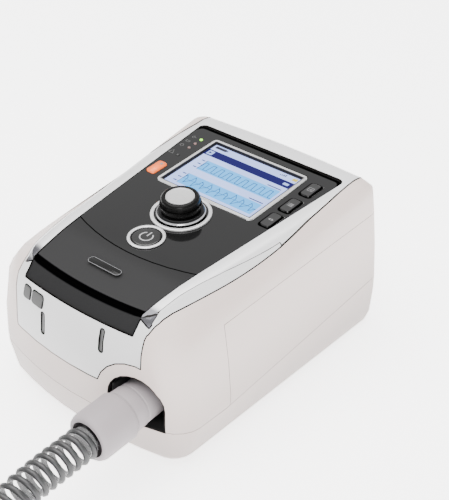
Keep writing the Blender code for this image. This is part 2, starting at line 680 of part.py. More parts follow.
def rod(name, radius, low, high, place, segments=SEGMENTS):
    """A cylinder along its place's own Z, from low to high."""
    bm = bmesh.new()
    bmesh.ops.create_cone(
        bm,
        cap_ends=True,
        segments=segments,
        radius1=radius,
        radius2=radius,
        depth=high - low,
    )
    bmesh.ops.translate(bm, vec=(0, 0, (low + high) / 2), verts=bm.verts)
    return new_object(name, mesh_from(bm, name), place)


def turned(name, profile, place, segments=SEGMENTS):
    """A solid of revolution; the profile runs down its outer side, from the top."""
    closed = min(radius for radius, _ in profile) > 0
    mesh = bpy.data.meshes.new(name)
    points = [(radius, 0, height) for radius, height in profile]
    edges = [(i, i + 1) for i in range(len(points) - 1)]
    if closed:
        edges.append((len(points) - 1, 0))
    mesh.from_pydata(points, edges, [])
    made = new_object(name, mesh, place)
    screw = made.modifiers.new("turn", "SCREW")
    screw.axis = "Z"
    screw.steps = segments
    screw.render_steps = segments
    screw.use_merge_vertices = True
    screw.merge_threshold = WELD
    return settle(made)


def tube(name, outer, inner, low, high, place, segments=SEGMENTS):
    profile = ((outer, high), (outer, low), (inner, low), (inner, high))
    return turned(name, profile, place, segments)


def plate(name, outlines, low, high, place):
    """A flat outline, with any holes as further outlines, from low to high."""
    curve = bpy.data.curves.new(name, "CURVE")
    curve.dimensions = "2D"
    curve.fill_mode = "BOTH"
    curve.extrude = (high - low) / 2
    for outline in outlines:
        spline = curve.splines.new("POLY")
        spline.points.add(len(outline) - 1)
        for point, (x, y) in zip(spline.points, outline):
            point.co = (x, y, 0, 1)
        spline.use_cyclic_u = True
    made = bpy.data.objects.new(name, curve)
    CUTTERS.objects.link(made)
    made.matrix_world = place @ at(0, 0, (low + high) / 2)
    return settle(made)


def rounded(width, height, corner, x=0.0, y=0.0, steps=4):
    """The outline of a rounded rectangle."""
    points = []
    for quarter in range(4):
        start = quarter * math.pi / 2
        side_x = 1 if quarter in (0, 3) else -1
        side_y = 1 if quarter in (0, 1) else -1
        middle_x = x + side_x * (width / 2 - corner)
        middle_y = y + side_y * (height / 2 - corner)
        for step in range(steps + 1):
            angle = start + math.pi / 2 * step / steps
            points.append(
                (middle_x + corner * math.cos(angle), middle_y + corner * math.sin(angle))
            )
    return points


# The casing's skin

def top_height(y):
    """Height of the casing's top: the panel's plane, rolling down near the front."""
    plane = SCREEN_MIDDLE_Z + (y - SCREEN_MIDDLE_Y) * math.tan(PANEL_TILT)
    past = max(0.0, DROP_START_Y - y) / DROP_LENGTH
    return plane - FRONT_DROP * past ** 2


def corner_curve(start, corner, end, steps):
    points = []
    for step in range(1, steps + 1):
        t = step / steps
        first = start.lerp(corner, CORNER_BULGE_SHARE)
        last = end.lerp(corner, CORNER_BULGE_SHARE)
        a = start.lerp(first, t)
        b = first.lerp(last, t)
        c = last.lerp(end, t)
        points.append(a.lerp(b, t).lerp(b.lerp(c, t), t))
    return points


def half_outline(shares, inset):
    """Points from the middle of the front, round the right side, to the middle of the rear."""
    front_half, rear_half, front, rear, bow, front_reach, rear_reach = shares
    front_half = front_half * HALF_WIDTH - inset
    rear_half = rear_half * HALF_WIDTH - inset
    front_y = inset - front * HALF_LENGTH
    rear_y = rear * HALF_LENGTH - inset
    bow = bow * HALF_WIDTH
    front_reach = front_reach * HALF_WIDTH
    rear_reach = rear_reach * HALF_WIDTH
    front_corner = Vector((front_half, front_y + bow))
    rear_corner = Vector((rear_half, rear_y - REAR_BOW))
    along = (rear_corner - front_corner).normalized()
    side_start = front_corner + along * front_reach
    side_end = rear_corner - along * rear_reach
    front_end = front_half - front_reach
    rear_start = rear_half - rear_reach

    def front_at(x):
        return Vector((x, front_y + bow * (x / front_half) ** 2))

    def rear_at(x):
        return Vector((x, rear_y - REAR_BOW * (x / rear_half) ** 2))

    points = [front_at(front_end * i / FRONT_STEPS) for i in range(FRONT_STEPS + 1)]
    points += corner_curve(points[-1], front_corner, side_start, CORNER_STEPS)
    bend = (DROP_START_Y - side_start.y) / (side_end.y - side_start.y)
    for share in (bend / 2, bend, (1 + bend) / 2, 1.0):
        points.append(side_start.lerp(side_end, share))
    points += corner_curve(points[-1], rear_corner, rear_at(rear_start), CORNER_STEPS)
    points += [rear_at(rear_start / 2), rear_at(0)]
    return points


def full_ring(half):
    return half + [Vector((-p.x, p.y)) for p in half[-2:0:-1]]


def skin_rings(inset):
    """Rings of 3D points from the bottom to the top, all with as many points."""
    rings = []
    lowest = SKIN_SHARES[0][0]
    for share, *shares in SKIN_SHARES:
        ring = []
        for point in full_ring(half_outline(shares, inset)):
            local = CASE_HEIGHT + share * (top_height(point.y) - CASE_HEIGHT)
            height = share * local
            sink = inset * (1 - 2 * (share - lowest) / (1 - lowest))
            ring.append(Vector((point.x, point.y, height + sink)))
        rings.append(ring)
    top = rings[-1]
    middle = sum((p.y for p in top), 0.0) / len(top)
    for share in TOP_RING_SHARES:
        ring = []
        for point in top:
            y = middle + (point.y - middle) * share
            lift = top_height(y) - top_height(point.y)
            ring.append(Vector((point.x * share, y, point.z + lift)))
        rings.append(ring)
    return rings


def skin_solid(name, inset):
    bm = bmesh.new()
    rings = [[bm.verts.new(point) for point in ring] for ring in skin_rings(inset)]
    count = len(rings[0])
    for low, high in zip(rings, rings[1:]):
        for i in range(count):
            j = (i + 1) % count
            bm.faces.new((low[i], low[j], high[j], high[i]))
    bm.faces.new(rings[0][::-1])
    bm.faces.new(rings[-1])
    return new_object(name, mesh_from(bm, name))


def shell_between(name, outer_inset, inner_inset):
    return cut(skin_solid(name, outer_inset), skin_solid("inside", inner_inset))


# Regions that the skin is parted along, seen from above or from the side

FAR = CASE_LENGTH
SKY = CASE_HEIGHT + 5 * OVERRUN
FRONT_EDGE_Y = -SKIN_SHARES[-1][3] * HALF_LENGTH


def smooth_step(t):
    t = min(1.0, max(0.0, t))
    return t * t * (3 - 2 * t)


def panel_half(y):
    run = (y - FRONT_EDGE_Y) / (PANEL_REAR_Y - FRONT_EDGE_Y)
    return PANEL_FRONT_HALF + (PANEL_REAR_HALF - PANEL_FRONT_HALF) * max(0.0, run)


def trim_half(y):
    run = (y - FRONT_EDGE_Y) / (TRIM_BLEND_END_Y - FRONT_EDGE_Y)
    return TRIM_FRONT_HALF + (TRIM_REAR_HALF - TRIM_FRONT_HALF) * smooth_step(run)


def crown_half(y):
    if y > CROWN_MIDDLE_Y:
        run = (y - CROWN_MIDDLE_Y) / (PANEL_REAR_Y - CROWN_MIDDLE_Y)
        return CROWN_MIDDLE_HALF - (CROWN_MIDDLE_HALF - CROWN_REAR_HALF) * run ** 2
    run = (CROWN_MIDDLE_Y - y) / (CROWN_MIDDLE_Y - FRONT_EDGE_Y)
    return CROWN_MIDDLE_HALF - (CROWN_MIDDLE_HALF - CROWN_FRONT_HALF) * min(1.0, run) ** 2


def band(name, half, low_y, high_y, low_z, high_z, grow, steps):
    """A prism whose half width follows a rule along Y, seen from above."""
    ys = [low_y + (high_y - low_y) * i / steps for i in range(steps + 1)]
    right = [(half(y) + grow, y) for y in ys]
    left = [(-x, y) for x, y in reversed(right)]
    return plate(name, [right + left], low_z, high_z, Matrix.Identity(4))


def panel_outline(grow, front_y, rear_y):
    """The dark panel's outline seen from above, with rounded rear corners."""
    corner = PANEL_CORNER
    right = [(panel_half(front_y) + grow, front_y)]
    if front_y < FRONT_EDGE_Y:
        right.append((panel_half(FRONT_EDGE_Y) + grow, FRONT_EDGE_Y))
    for step in range(CORNER_STEPS + 1):
        angle = math.pi / 2 * step / CORNER_STEPS
        x = panel_half(rear_y) + grow - corner + corner * math.cos(angle)
        right.append((x, rear_y - corner + corner * math.sin(angle)))
    return right + [(-x, y) for x, y in reversed(right)]


def panel_region(grow, low_z, trench=0.0):
    outline = panel_outline(grow, -FAR, PANEL_REAR_Y + grow + trench)
    return plate("panel_region", [outline], low_z, SKY, Matrix.Identity(4))


def lid_seam(u):
    """How far up the panel the curved seam of the front lid runs."""
    return LID_SEAM_SIDE_V - LID_SEAM_SAG * (1 - (u / PANEL_FRONT_HALF) ** 2)


def front_of(name, curve_y, grow, steps=12):
    """Everything in front of a curve that gives y for each x."""
    reach = PANEL_REAR_HALF
    xs = [reach - 2 * reach * i / steps for i in range(steps + 1)]
    curve = [(x, curve_y(x) + grow) for x in xs]
    outline = [(-reach, -FAR), (reach, -FAR)] + curve
    return plate(name, [outline], 0.0, SKY, Matrix.Identity(4))


def lid_region(grow):
    return front_of("lid_region", lambda x: SCREEN_MIDDLE_Y + lid_seam(x), grow)


def nose_region(grow):
    """Everything in front of the top's front edge, where the fascia turns down."""
    half = SKIN_SHARES[-1][1] * HALF_WIDTH
    bow = SKIN_SHARES[-1][5] * HALF_WIDTH
    return front_of("nose_region", lambda x: FRONT_EDGE_Y + bow * (x / half) ** 2, grow)


def side_prism(name, outline):
    """A prism through the whole width from an outline of y, z points."""
    return plate(name, [outline], -CASE_WIDTH, CASE_WIDTH, SIDEWAYS)


def base_region(grow):
    """Everything below the seam of the base tray."""
    outline = [
        (-FAR, -FAR),
        (FAR, -FAR),
        (FAR, BASE_SEAM_REAR_Z + grow),
        (HALF_LENGTH, BASE_SEAM_REAR_Z + grow),
        (BASE_SEAM_LOW_Y, BASE_SEAM_LOW_Z + grow),
        (-HALF_LENGTH, BASE_SEAM_FRONT_Z + grow),
        (-FAR, BASE_SEAM_FRONT_Z + grow),
    ]
    return side_prism("base_region", outline)


def rear_region(grow):
    """Behind the upright side seams and below the long seam of the side."""
    outline = [
        (SIDE_SEAM_Y - grow, -FAR),
        (FAR, -FAR),
        (FAR, SIDE_SEAM_TOP_REAR_Z + grow),
        (HALF_LENGTH, SIDE_SEAM_TOP_REAR_Z + grow),
        (SIDE_SEAM_Y - grow, SIDE_SEAM_TOP_Z + grow),
    ]
    return side_prism("rear_region", outline)


def arch(grow, low_z):
    """The outlet's arch seen from the front: x and z."""
    half = PORT_HALF + grow
    points = [(PORT_X + half, low_z)]
    for step in range(ARCH_STEPS + 1):
        angle = math.pi * step / ARCH_STEPS
        points.append((PORT_X + half * math.cos(angle), PORT_ARCH_Z + half * math.sin(angle)))
    points.append((PORT_X - half, low_z))
    return points


def front_prism(name, outline, rear_y, front_y=-FAR):
    """A prism along Y from an outline of x, z points."""
    return plate(name, [outline], -rear_y, -front_y, FORWARD)


def crown_region(grow):
    """The top frame and the front cover together, out to their dark outer seam."""
    top = band(
        "crown",
        crown_half,
        -HALF_LENGTH - OVERRUN,
        PANEL_REAR_Y,
        CROWN_FRONT_LOW_Z - grow,
        SKY,
        grow,
        24,
    )
    tail = block(
        "crown_tail",
        (-CROWN_REAR_HALF - grow, PANEL_REAR_Y - OVERRUN, CROWN_REAR_LOW_Z - grow),
        (CROWN_REAR_HALF + grow, FAR, SKY),
    )
    half = CROWN_FRONT_HALF + grow
    face = block(
        "crown_face",
        (-half, -FAR, COVER_LOW_Z - grow),
        (half, SIDE_SEAM_Y, CROWN_FRONT_LOW_Z + OVERRUN),
    )
    port = front_prism(
        "port_surround", arch(COVER_ARCH_MARGIN - grow, 0.0), SIDE_SEAM_Y + OVERRUN
    )
    return fuse(top, tail, cut(face, port))


def trim_region(grow):
    """The silver frame round the panel, out to its outer edge."""
    low_y = TRIM_FRONT_Y - grow
    high_y = ARM_END_Y + OVERRUN
    arms = band("trim", trim_half, low_y, high_y, OVERRUN, SKY - OVERRUN, grow, 14)
    rear = block("trim_rear", (-CASE_WIDTH, ARM_END_Y - grow, 0.0), (CASE_WIDTH, FAR, SKY))
    return fuse(arms, rear)


def to_panel(outline):
    """Turns an outline seen from above into the panel's own plane."""
    return [(x, (y - SCREEN_MIDDLE_Y) / math.cos(PANEL_TILT)) for x, y in outline]


def circle(radius, x=0.0, y=0.0, steps=SEGMENTS):
    turn = 2 * math.pi / steps
    return [
        (x + radius * math.cos(turn * i), y + radius * math.sin(turn * i))
        for i in range(steps)
    ]


# Casing pieces

def make_casing():
    """The moulded shell, parted into its base, rear, upper, cover and trim pieces."""
    skin = shell_between("casing", 0.0, CASE_WALL)
    base = common(copy_of(skin, "base_tray"), base_region(-GAP / 2))
    skin = cut(skin, base_region(GAP / 2))
    rear = common(copy_of(skin, "rear_housing"), rear_region(-GAP / 2))
    skin = cut(skin, rear_region(GAP / 2))
    cover = common(copy_of(skin, "front_cover"), crown_region(-GAP / 2))
    upper = cut(skin, crown_region(GAP / 2))
    upper.name = "upper_housing"
    trim = common(copy_of(cover, "trim_frame"), trim_region(-GAP / 2))
    trim = cut(trim, panel_region(GAP / 2, FASCIA_LOW_Z - GAP, TRENCH_WIDTH))
    cover = cut(cover, trim_region(GAP / 2), panel_region(GAP / 2, FASCIA_LOW_Z - GAP))
    finish_base(base)
    finish_rear(rear)
    as_part(cut(upper, port_hole()), "case_white")
    as_part(trim, "trim_silver")
    finish_cover(cover)


def port_hole():
    return front_prism("port_hole", arch(0.0, PORT_LOW_Z), SIDE_SEAM_Y)


def foot_places():
    for side in (-1, 1):
        yield side * FOOT_FRONT_X, FOOT_FRONT_Y
        yield side * FOOT_REAR_X, FOOT_REAR_Y


def screw_places():
    for side in (-1, 1):
        yield side * SCREW_FRONT_X, SCREW_FRONT_Y
        yield side * SCREW_REAR_X, SCREW_REAR_Y


def finish_base(base):
    """Bosses for the case screws, foot pockets and the lower edge of the outlet's port."""
    for x, y in screw_places():
        top = FLOOR_Z + SCREW_BOSS_HEIGHT
        place = at(x, y, 0)
        boss = rod("boss", SCREW_BOSS_RADIUS, BOTTOM_Z + GAP, top, place, SMALL_SEGMENTS)
        seat = BOTTOM_Z + SCREW_HEAD + 2 * GAP
        head = rod("head", SCREW_HEAD_RADIUS + GAP, -OVERRUN, seat, place, SMALL_SEGMENTS)
        hole = rod("hole", SCREW_RADIUS + GAP, 0.0, top + OVERRUN, place, SMALL_SEGMENTS)
        base = cut(fuse(base, boss), head, hole)
    for x, y in foot_places():
        radius = FOOT_RADIUS + GAP
        top = BOTTOM_Z + FOOT_POCKET
        base = cut(base, rod("pocket", radius, -OVERRUN, top, at(x, y, 0), TUBE_SEGMENTS))
    as_part(cut(base, port_hole()), "case_white")


def make_feet():
    height = BOTTOM_Z + FOOT_POCKET - GAP
    for number, (x, y) in enumerate(foot_places(), 1):
        foot = rod(f"foot_{number}", FOOT_RADIUS, 0.0, height, at(x, y, 0), TUBE_SEGMENTS)
        as_part(foot, "rubber_black")


def make_screws():
    """Pan-head screws that enter the bosses from below."""
    low = BOTTOM_Z + GAP
    for number, (x, y) in enumerate(screw_places(), 1):
        profile = (
            (SCREW_RADIUS, low + SCREW_HEAD + SCREW_LENGTH),
            (SCREW_RADIUS, low + SCREW_HEAD),
            (SCREW_HEAD_RADIUS, low + SCREW_HEAD),
            (SCREW_HEAD_RADIUS, low),
        )
        name = f"case_screw_{number}"
        screw = turned(name, closed_profile(profile), at(x, y, 0), SMALL_SEGMENTS)
        slot = box("slot", (SCREW_HEAD_RADIUS, SCREW_SLOT, SCREW_SLOT), at(x, y, low))
        as_part(cut(screw, slot), "steel")


def closed_profile(profile):
    """Runs a solid profile in to its axis at both ends."""
    return ((0.0, profile[0][1]), *profile, (0.0, profile[-1][1]))


def rear_opening(name, width, height, x, z, corner, depth=FIELD_THICKNESS):
    """A rounded prism along Y at the rear field, reaching out past it."""
    outline = rounded(width, height, corner)
    return plate(name, [outline], -depth - OVERRUN, OVERRUN, at(x, REAR_Y, z) @ REARWARD)


def finish_rear(rear):
    """The sunk flat field with its openings, and the well that holds the air filter."""
    pad = block(
        "pad",
        (-FIELD_HALF - CASE_WALL, REAR_Y - FIELD_THICKNESS, FIELD_LOW_Z - CASE_WALL),
        (FIELD_HALF + CASE_WALL, FAR, FIELD_HIGH_Z + CASE_WALL),
    )
    rear = fuse(rear, common(pad, skin_solid("half_wall", CASE_WALL / 2)))
    field = block(
        "field", (-FIELD_HALF, REAR_Y, FIELD_LOW_Z), (FIELD_HALF, FAR, FIELD_HIGH_Z)
    )
    rear = cut(rear, field)
    well_width = FILTER_WIDTH + 2 * GAP
    well_height = FILTER_HEIGHT + 2 * GAP
    well_depth = FILTER_COVER + FILTER_THICKNESS + 3 * GAP
    place = at(FILTER_X, 0, FILTER_Z)
    well = box(
        "well",
        (well_width + 2 * FILTER_LIP, well_depth, well_height + 2 * FILTER_LIP),
        place @ at(0, REAR_Y - GAP - (well_depth + FILTER_LIP) / 2, 0),
    )
    room = box(
        "room",
        (well_width, 2 * well_depth, well_height),
        place @ at(0, REAR_Y, 0),
    )
    throat = box(
        "throat",
        (well_width - 2 * FILTER_LIP, 4 * well_depth, well_height - 2 * FILTER_LIP),
        place @ at(0, REAR_Y, 0),
    )
    rear = cut(fuse(rear, well), room, throat)
    margin = 2 * GAP
    openings = (
        (INLET_WIDTH, INLET_HEIGHT, INLET_X, INLET_Z, INLET_CORNER),
        (DATA_COVER_WIDTH, DATA_COVER_HEIGHT, INLET_X, DATA_COVER_Z, DATA_COVER_CORNER),
    )
    for width, height, x, z, corner in openings:
        rear = cut(rear, rear_opening("hole", width + margin, height + margin, x, z, corner))
    hole = rod(
        "hole",
        OXYGEN_RADIUS + GAP,
        -FIELD_THICKNESS - OVERRUN,
        OVERRUN,
        at(OXYGEN_X, REAR_Y, OXYGEN_Z) @ REARWARD,
        SMALL_SEGMENTS,
    )
    as_part(cut(rear, hole), "case_white")


def slot_outline(x, z):
    return rounded(SLOT_WIDTH, SLOT_LENGTH, SLOT_WIDTH / 2 - GAP, x, z)


def plug_outline(x, width, grow):
    return rounded(width + 2 * grow, PLUG_HEIGHT + 2 * grow, PLUG_CORNER, x, PLUGS_Z)


def finish_cover(cover):
    """The two upright slots and the two plug openings."""
    for x, z in ((-SLOT_SPREAD, SLOT_LEFT_Z), (SLOT_SPREAD, SLOT_RIGHT_Z)):
        cover = cut(cover, front_prism("slot", slot_outline(x, z), SIDE_SEAM_Y))
    for _, x, width in PLUGS:
        cover = cut(cover, front_prism("hole", plug_outline(x, width, GAP), SIDE_SEAM_Y))
    as_part(cover, "cover_grey")


def make_plugs():
    """Plugs of the two small pressure connectors; they follow the cover and stand proud."""
    for name, x, width in PLUGS:
        body = front_prism(name, plug_outline(x, width, 0.0), SIDE_SEAM_Y)
        body = common(body, skin_solid("outside", -PLUG_RISE))
        as_part(cut(body, skin_solid("inside", CASE_WALL)), "plug_grey")


# Control panel

def make_dark_panel():
    """The sunk panel, its front lid and the fascia that turns down over the front."""
    skin = shell_between("dark_skin", PANEL_RECESS, PANEL_UNDER)
    skin = common(skin, panel_region(-GAP / 2, FASCIA_LOW_Z))
    fascia = common(copy_of(skin, "front_fascia"), nose_region(-GAP / 2))
    skin = cut(skin, nose_region(GAP / 2))
    lid = common(copy_of(skin, "panel_lid"), lid_region(-GAP / 2))
    panel = cut(skin, lid_region(GAP / 2), panel_holes())
    panel.name = "control_panel"
    as_part(lid, "panel_dark")
    as_part(panel, "panel_dark")
    as_part(fascia, "gloss_black")


def panel_holes():
    """Openings for the screen, dial shaft, keys and status lights, in one cutter."""
    clear = 2 * KEY_CLEARANCE
    outlines = [
        rounded(SCREEN_WIDTH + 2 * GAP, SCREEN_HEIGHT + 2 * GAP, SCREEN_CORNER),
        circle(SHAFT_RADIUS + GAP, 0.0, DIAL_V, SMALL_SEGMENTS),
        circle(POWER_RADIUS + KEY_CLEARANCE, 0.0, POWER_V),
    ]
    for _, u, v, _ in KEYS:
        outlines.append(rounded(KEY_WIDTH + clear, KEY_LENGTH + clear, KEY_CORNER, u, v, 3))
    for v in LIGHT_VS:
        outlines.append(circle(LIGHT_RADIUS + GAP, LIGHT_U, v, SMALL_SEGMENTS))
    return plate("panel_holes", outlines, -PANEL_UNDER - OVERRUN, OVERRUN, PANEL_PLACE)


def make_tray():
    """The black frame below the panel's edge, with the strip that fills the rear trench."""
    front_y = SCREEN_MIDDLE_Y + TRAY_FRONT_V
    outer = to_panel(panel_outline(TRAY_REACH, front_y, PANEL_REAR_Y + TRENCH_WIDTH))
    inner = to_panel(panel_outline(-TRAY_LAP, front_y + TRAY_BAR, PANEL_REAR_Y - TRAY_LAP))
    low = GAP - KEY_BOARD_DEPTH
    high = -PANEL_UNDER - 2 * GAP
    tray = plate("panel_tray", [outer, inner], low, high, PANEL_PLACE)
    rear_v = (PANEL_REAR_Y - SCREEN_MIDDLE_Y) / math.cos(PANEL_TILT)
    half = panel_half(PANEL_REAR_Y) - PANEL_CORNER
    strip_low = (low + high) / 2
    strip = box(
        "strip",
        (2 * half, TRENCH_WIDTH - 2 * GAP, -TRENCH_DEPTH - strip_low),
        on_panel(0, rear_v + TRENCH_WIDTH / 2, (strip_low - TRENCH_DEPTH) / 2),
    )
    as_part(fuse(tray, strip), "rubber_black")


def make_screen():
    """White frame, glass window and display module."""
    frame = plate(
        "screen_bezel",
        [
            rounded(SCREEN_WIDTH, SCREEN_HEIGHT, SCREEN_CORNER),
            rounded(WINDOW_WIDTH, WINDOW_HEIGHT, SCREEN_CORNER / 2),
        ],
        GAP - PANEL_UNDER,
        BEZEL_RISE,
        PANEL_PLACE,
    )
    as_part(frame, "white_plastic")
    window = plate(
        "screen_window",
        [rounded(WINDOW_WIDTH - 2 * GAP, WINDOW_HEIGHT - 2 * GAP, SCREEN_CORNER / 2)],
        GAP - PANEL_UNDER,
        GAP - PANEL_UNDER + WINDOW_THICKNESS,
        PANEL_PLACE,
    )
    as_part(window, "screen_glass")
    module = plate(
        "lcd_module",
        [rounded(SCREEN_WIDTH + 2 * LCD_LAP, SCREEN_HEIGHT + 2 * LCD_LAP, SCREEN_CORNER)],
        GAP - KEY_BOARD_DEPTH,
        -PANEL_UNDER - GAP,
        PANEL_PLACE,
    )
    as_part(module, "module_grey")


def make_dial():
    """Ring, skirt, drum and cap of the push dial, on the shaft of its encoder."""
    place = on_panel(0, DIAL_V)
    seat = GAP - PANEL_RECESS
    ring = ((DIAL_RING_RADIUS - EDGE, RING_RISE), (DIAL_RING_RADIUS, RING_RISE - EDGE))
    ring_bore = DIAL_RING_RADIUS - DIAL_RING_WIDTH
    profile = (*ring, (DIAL_RING_RADIUS, seat), (ring_bore, seat), (ring_bore, RING_RISE))
    as_part(turned("dial_ring", profile, place, RING_SEGMENTS), "silver_plastic")

    skirt_low = DIAL_TRAVEL + 2 * GAP
    skirt_high = skirt_low + SKIRT_HEIGHT
    bore = SHAFT_RADIUS + GAP
    profile = (
        (SKIRT_TOP_RADIUS, skirt_high),
        (SKIRT_RADIUS, skirt_low + SKIRT_HEIGHT / 2),
        (SKIRT_RADIUS, skirt_low),
        (bore, skirt_low),
        (bore, skirt_high),
    )
    as_part(turned("dial_skirt", profile, place), "silver_plastic")

    drum_low = skirt_high + GAP
    drum_high = drum_low + DRUM_HEIGHT
    well = CAP_RADIUS + GAP
    well_low = drum_high - CAP_SINK - CAP_THICKNESS - GAP
    profile = (
        (well, drum_high),
        (DRUM_RADIUS - DRUM_CHAMFER, drum_high),
        (DRUM_RADIUS, drum_high - DRUM_CHAMFER),
        (DRUM_RADIUS, drum_low),
        (bore, drum_low),
        (bore, well_low),
        (well, well_low),
    )
    as_part(turned("dial_drum", profile, place), "rubber_black")

    cap_low = well_low + GAP
    cap_high = cap_low + CAP_THICKNESS
    profile = ((CAP_RADIUS - EDGE, cap_high), (CAP_RADIUS, cap_high - EDGE), (CAP_RADIUS, cap_low))
    as_part(turned("dial_cap", closed_profile(profile), place), "cap_grey")

    shaft_low = GAP - KEY_BOARD_DEPTH + DIAL_TRAVEL + 2 * GAP
    shaft_high = cap_low - 2 * GAP
    shaft = rod("encoder_shaft", SHAFT_RADIUS, shaft_low, shaft_high, place, SMALL_SEGMENTS)
    as_part(shaft, "steel")
    body = plate(
        "encoder",
        [rounded(ENCODER_WIDTH, ENCODER_WIDTH, EDGE, steps=1), circle(bore, steps=SMALL_SEGMENTS)],
        GAP - KEY_BOARD_DEPTH,
        -PANEL_UNDER - GAP,
        place,
    )
    as_part(body, "steel")


def key_stem(place):
    """The stem that reaches a key's contact on the key board."""
    low = KEY_TRAVEL + GAP - KEY_BOARD_DEPTH
    return rod("stem", KEY_STEM_RADIUS, low, -PANEL_UNDER - GAP - EDGE, place, SMALL_SEGMENTS)


def make_keys():
    """Rounded rectangular keys, each held down by a lug at both ends below the panel."""
    flange_high = -PANEL_UNDER - GAP
    for name, u, v, finish in KEYS:
        place = on_panel(u, v)
        outline = rounded(KEY_WIDTH, KEY_LENGTH, KEY_CORNER, steps=3)
        key = plate(name, [outline], flange_high - KEY_FLANGE_THICKNESS / 2, KEY_RISE, place)
        flange = rounded(KEY_WIDTH - EDGE, KEY_LENGTH + 2 * KEY_FLANGE, EDGE, steps=1)
        key = fuse(
            key,
            plate("flange", [flange], flange_high - KEY_FLANGE_THICKNESS, flange_high, place),
            key_stem(place),
        )
        as_part(key, finish)


def make_power_button():
    place = on_panel(0, POWER_V)
    seat = GAP - PANEL_RECESS
    rise = RING_RISE - GAP
    bore = POWER_RING_RADIUS - POWER_RING_WIDTH
    profile = (
        (POWER_RING_RADIUS - EDGE, rise),
        (POWER_RING_RADIUS, rise - EDGE),
        (POWER_RING_RADIUS, seat),
        (bore, seat),
        (bore, rise),
    )
    as_part(turned("power_ring", profile, place), "silver_plastic")
    flange_high = -PANEL_UNDER - GAP
    flange_radius = POWER_RADIUS + KEY_CLEARANCE + KEY_FLANGE
    profile = (
        (POWER_RADIUS - EDGE, KEY_RISE),
        (POWER_RADIUS, KEY_RISE - EDGE),
        (POWER_RADIUS, flange_high),
        (flange_radius, flange_high),
        (flange_radius, flange_high - KEY_FLANGE_THICKNESS),
    )
    button = turned("power_button", closed_profile(profile), place)
    as_part(fuse(button, key_stem(place)), "panel_dark")


def make_lights():
    """Light guides from the key board up to the panel's surface."""
    for number, v in enumerate(LIGHT_VS, 1):
        guide = rod(
            f"status_light_{number}",
            LIGHT_RADIUS,
            GAP - KEY_BOARD_DEPTH,
            LIGHT_RISE,
            on_panel(LIGHT_U, v),
            SMALL_SEGMENTS,
        )
        as_part(guide, "light_green" if number == 1 else "light_grey")


def make_key_board():
    front_y = SCREEN_MIDDLE_Y + TRAY_FRONT_V
    outline = to_panel(panel_outline(0.0, front_y, PANEL_REAR_Y))
    board = plate(
        "key_board",
        [outline],
        -KEY_BOARD_DEPTH - BOARD_THICKNESS,
        -KEY_BOARD_DEPTH,
        PANEL_PLACE,
    )
    as_part(board, "board_green")


# Breathing outlet and the cuffs

def make_port_liner():
    """The black cup that lines the outlet's arched opening."""
    back_y = PORT_FLOOR_Y + LINER_WALL
    outline = arch(-GAP, PORT_LOW_Z + GAP)
    liner = front_prism("port_liner", outline, back_y, LINER_FRONT_Y)
    inside = front_prism(
        "inside", arch(-GAP - LINER_WALL, PORT_LOW_Z + GAP + LINER_WALL), PORT_FLOOR_Y
    )
    liner = common(cut(liner, inside), skin_solid("trimmed", LINER_INSET))
    hole = rod(
        "hole",
        OUTLET_RADIUS + GAP,
        -back_y - OVERRUN,
        -PORT_FLOOR_Y + OVERRUN,
        OUTLET_PLACE,
        TUBE_SEGMENTS,
    )
    as_part(cut(liner, hole), "rubber_black")


def make_outlet():
    """The spigot of the breathing outlet, with a flange against the liner's floor."""
    seat = -PORT_FLOOR_Y + GAP
    profile = (
        (OUTLET_RADIUS - EDGE, seat + OUTLET_REACH),
        (OUTLET_RADIUS, seat + OUTLET_REACH - EDGE),
        (OUTLET_RADIUS, seat + OUTLET_FLANGE),
        (OUTLET_FLANGE_RADIUS, seat + OUTLET_FLANGE),
        (OUTLET_FLANGE_RADIUS, seat),
        (OUTLET_RADIUS, seat),
        (OUTLET_RADIUS, seat - OUTLET_TAIL),
        (OUTLET_BORE, seat - OUTLET_TAIL),
        (OUTLET_BORE, seat + OUTLET_REACH),
    )
    as_part(turned("outlet_spigot", profile, OUTLET_PLACE, TUBE_SEGMENTS), "white_plastic")


def cuff(name, outer, length, place):
    """A cuff with a socket for a spigot at its start and the hose's bore at its end."""
    socket = OUTLET_RADIUS + GAP
    profile = (
        *outer,
        (socket, 0.0),
        (socket, CUFF_SOCKET),
        (HOSE_BORE, CUFF_SOCKET + socket - HOSE_BORE),
        (HOSE_BORE, length),
    )
    as_part(turned(name, profile, place, TUBE_SEGMENTS), "cuff_grey")


def make_hose_cuff():
    collar_end = CUFF_NECK_LENGTH + CUFF_COLLAR_LENGTH
    outer = (
        (CUFF_BODY_RADIUS - CUFF_ROUND, CUFF_LENGTH),
        (CUFF_BODY_RADIUS - CUFF_ROUND / 4, CUFF_LENGTH - CUFF_ROUND / 4),
        (CUFF_BODY_RADIUS, CUFF_LENGTH - CUFF_ROUND),
        (CUFF_BODY_RADIUS, collar_end + CUFF_ROUND / 4),
        (CUFF_COLLAR_RADIUS, collar_end),
        (CUFF_COLLAR_RADIUS, CUFF_NECK_LENGTH),
        (CUFF_NECK_RADIUS, CUFF_NECK_LENGTH),
        (CUFF_NECK_RADIUS, 0.0),
    )
    cuff("hose_cuff", outer, CUFF_LENGTH, OUTLET_PLACE @ at(0, 0, CUFF_START))


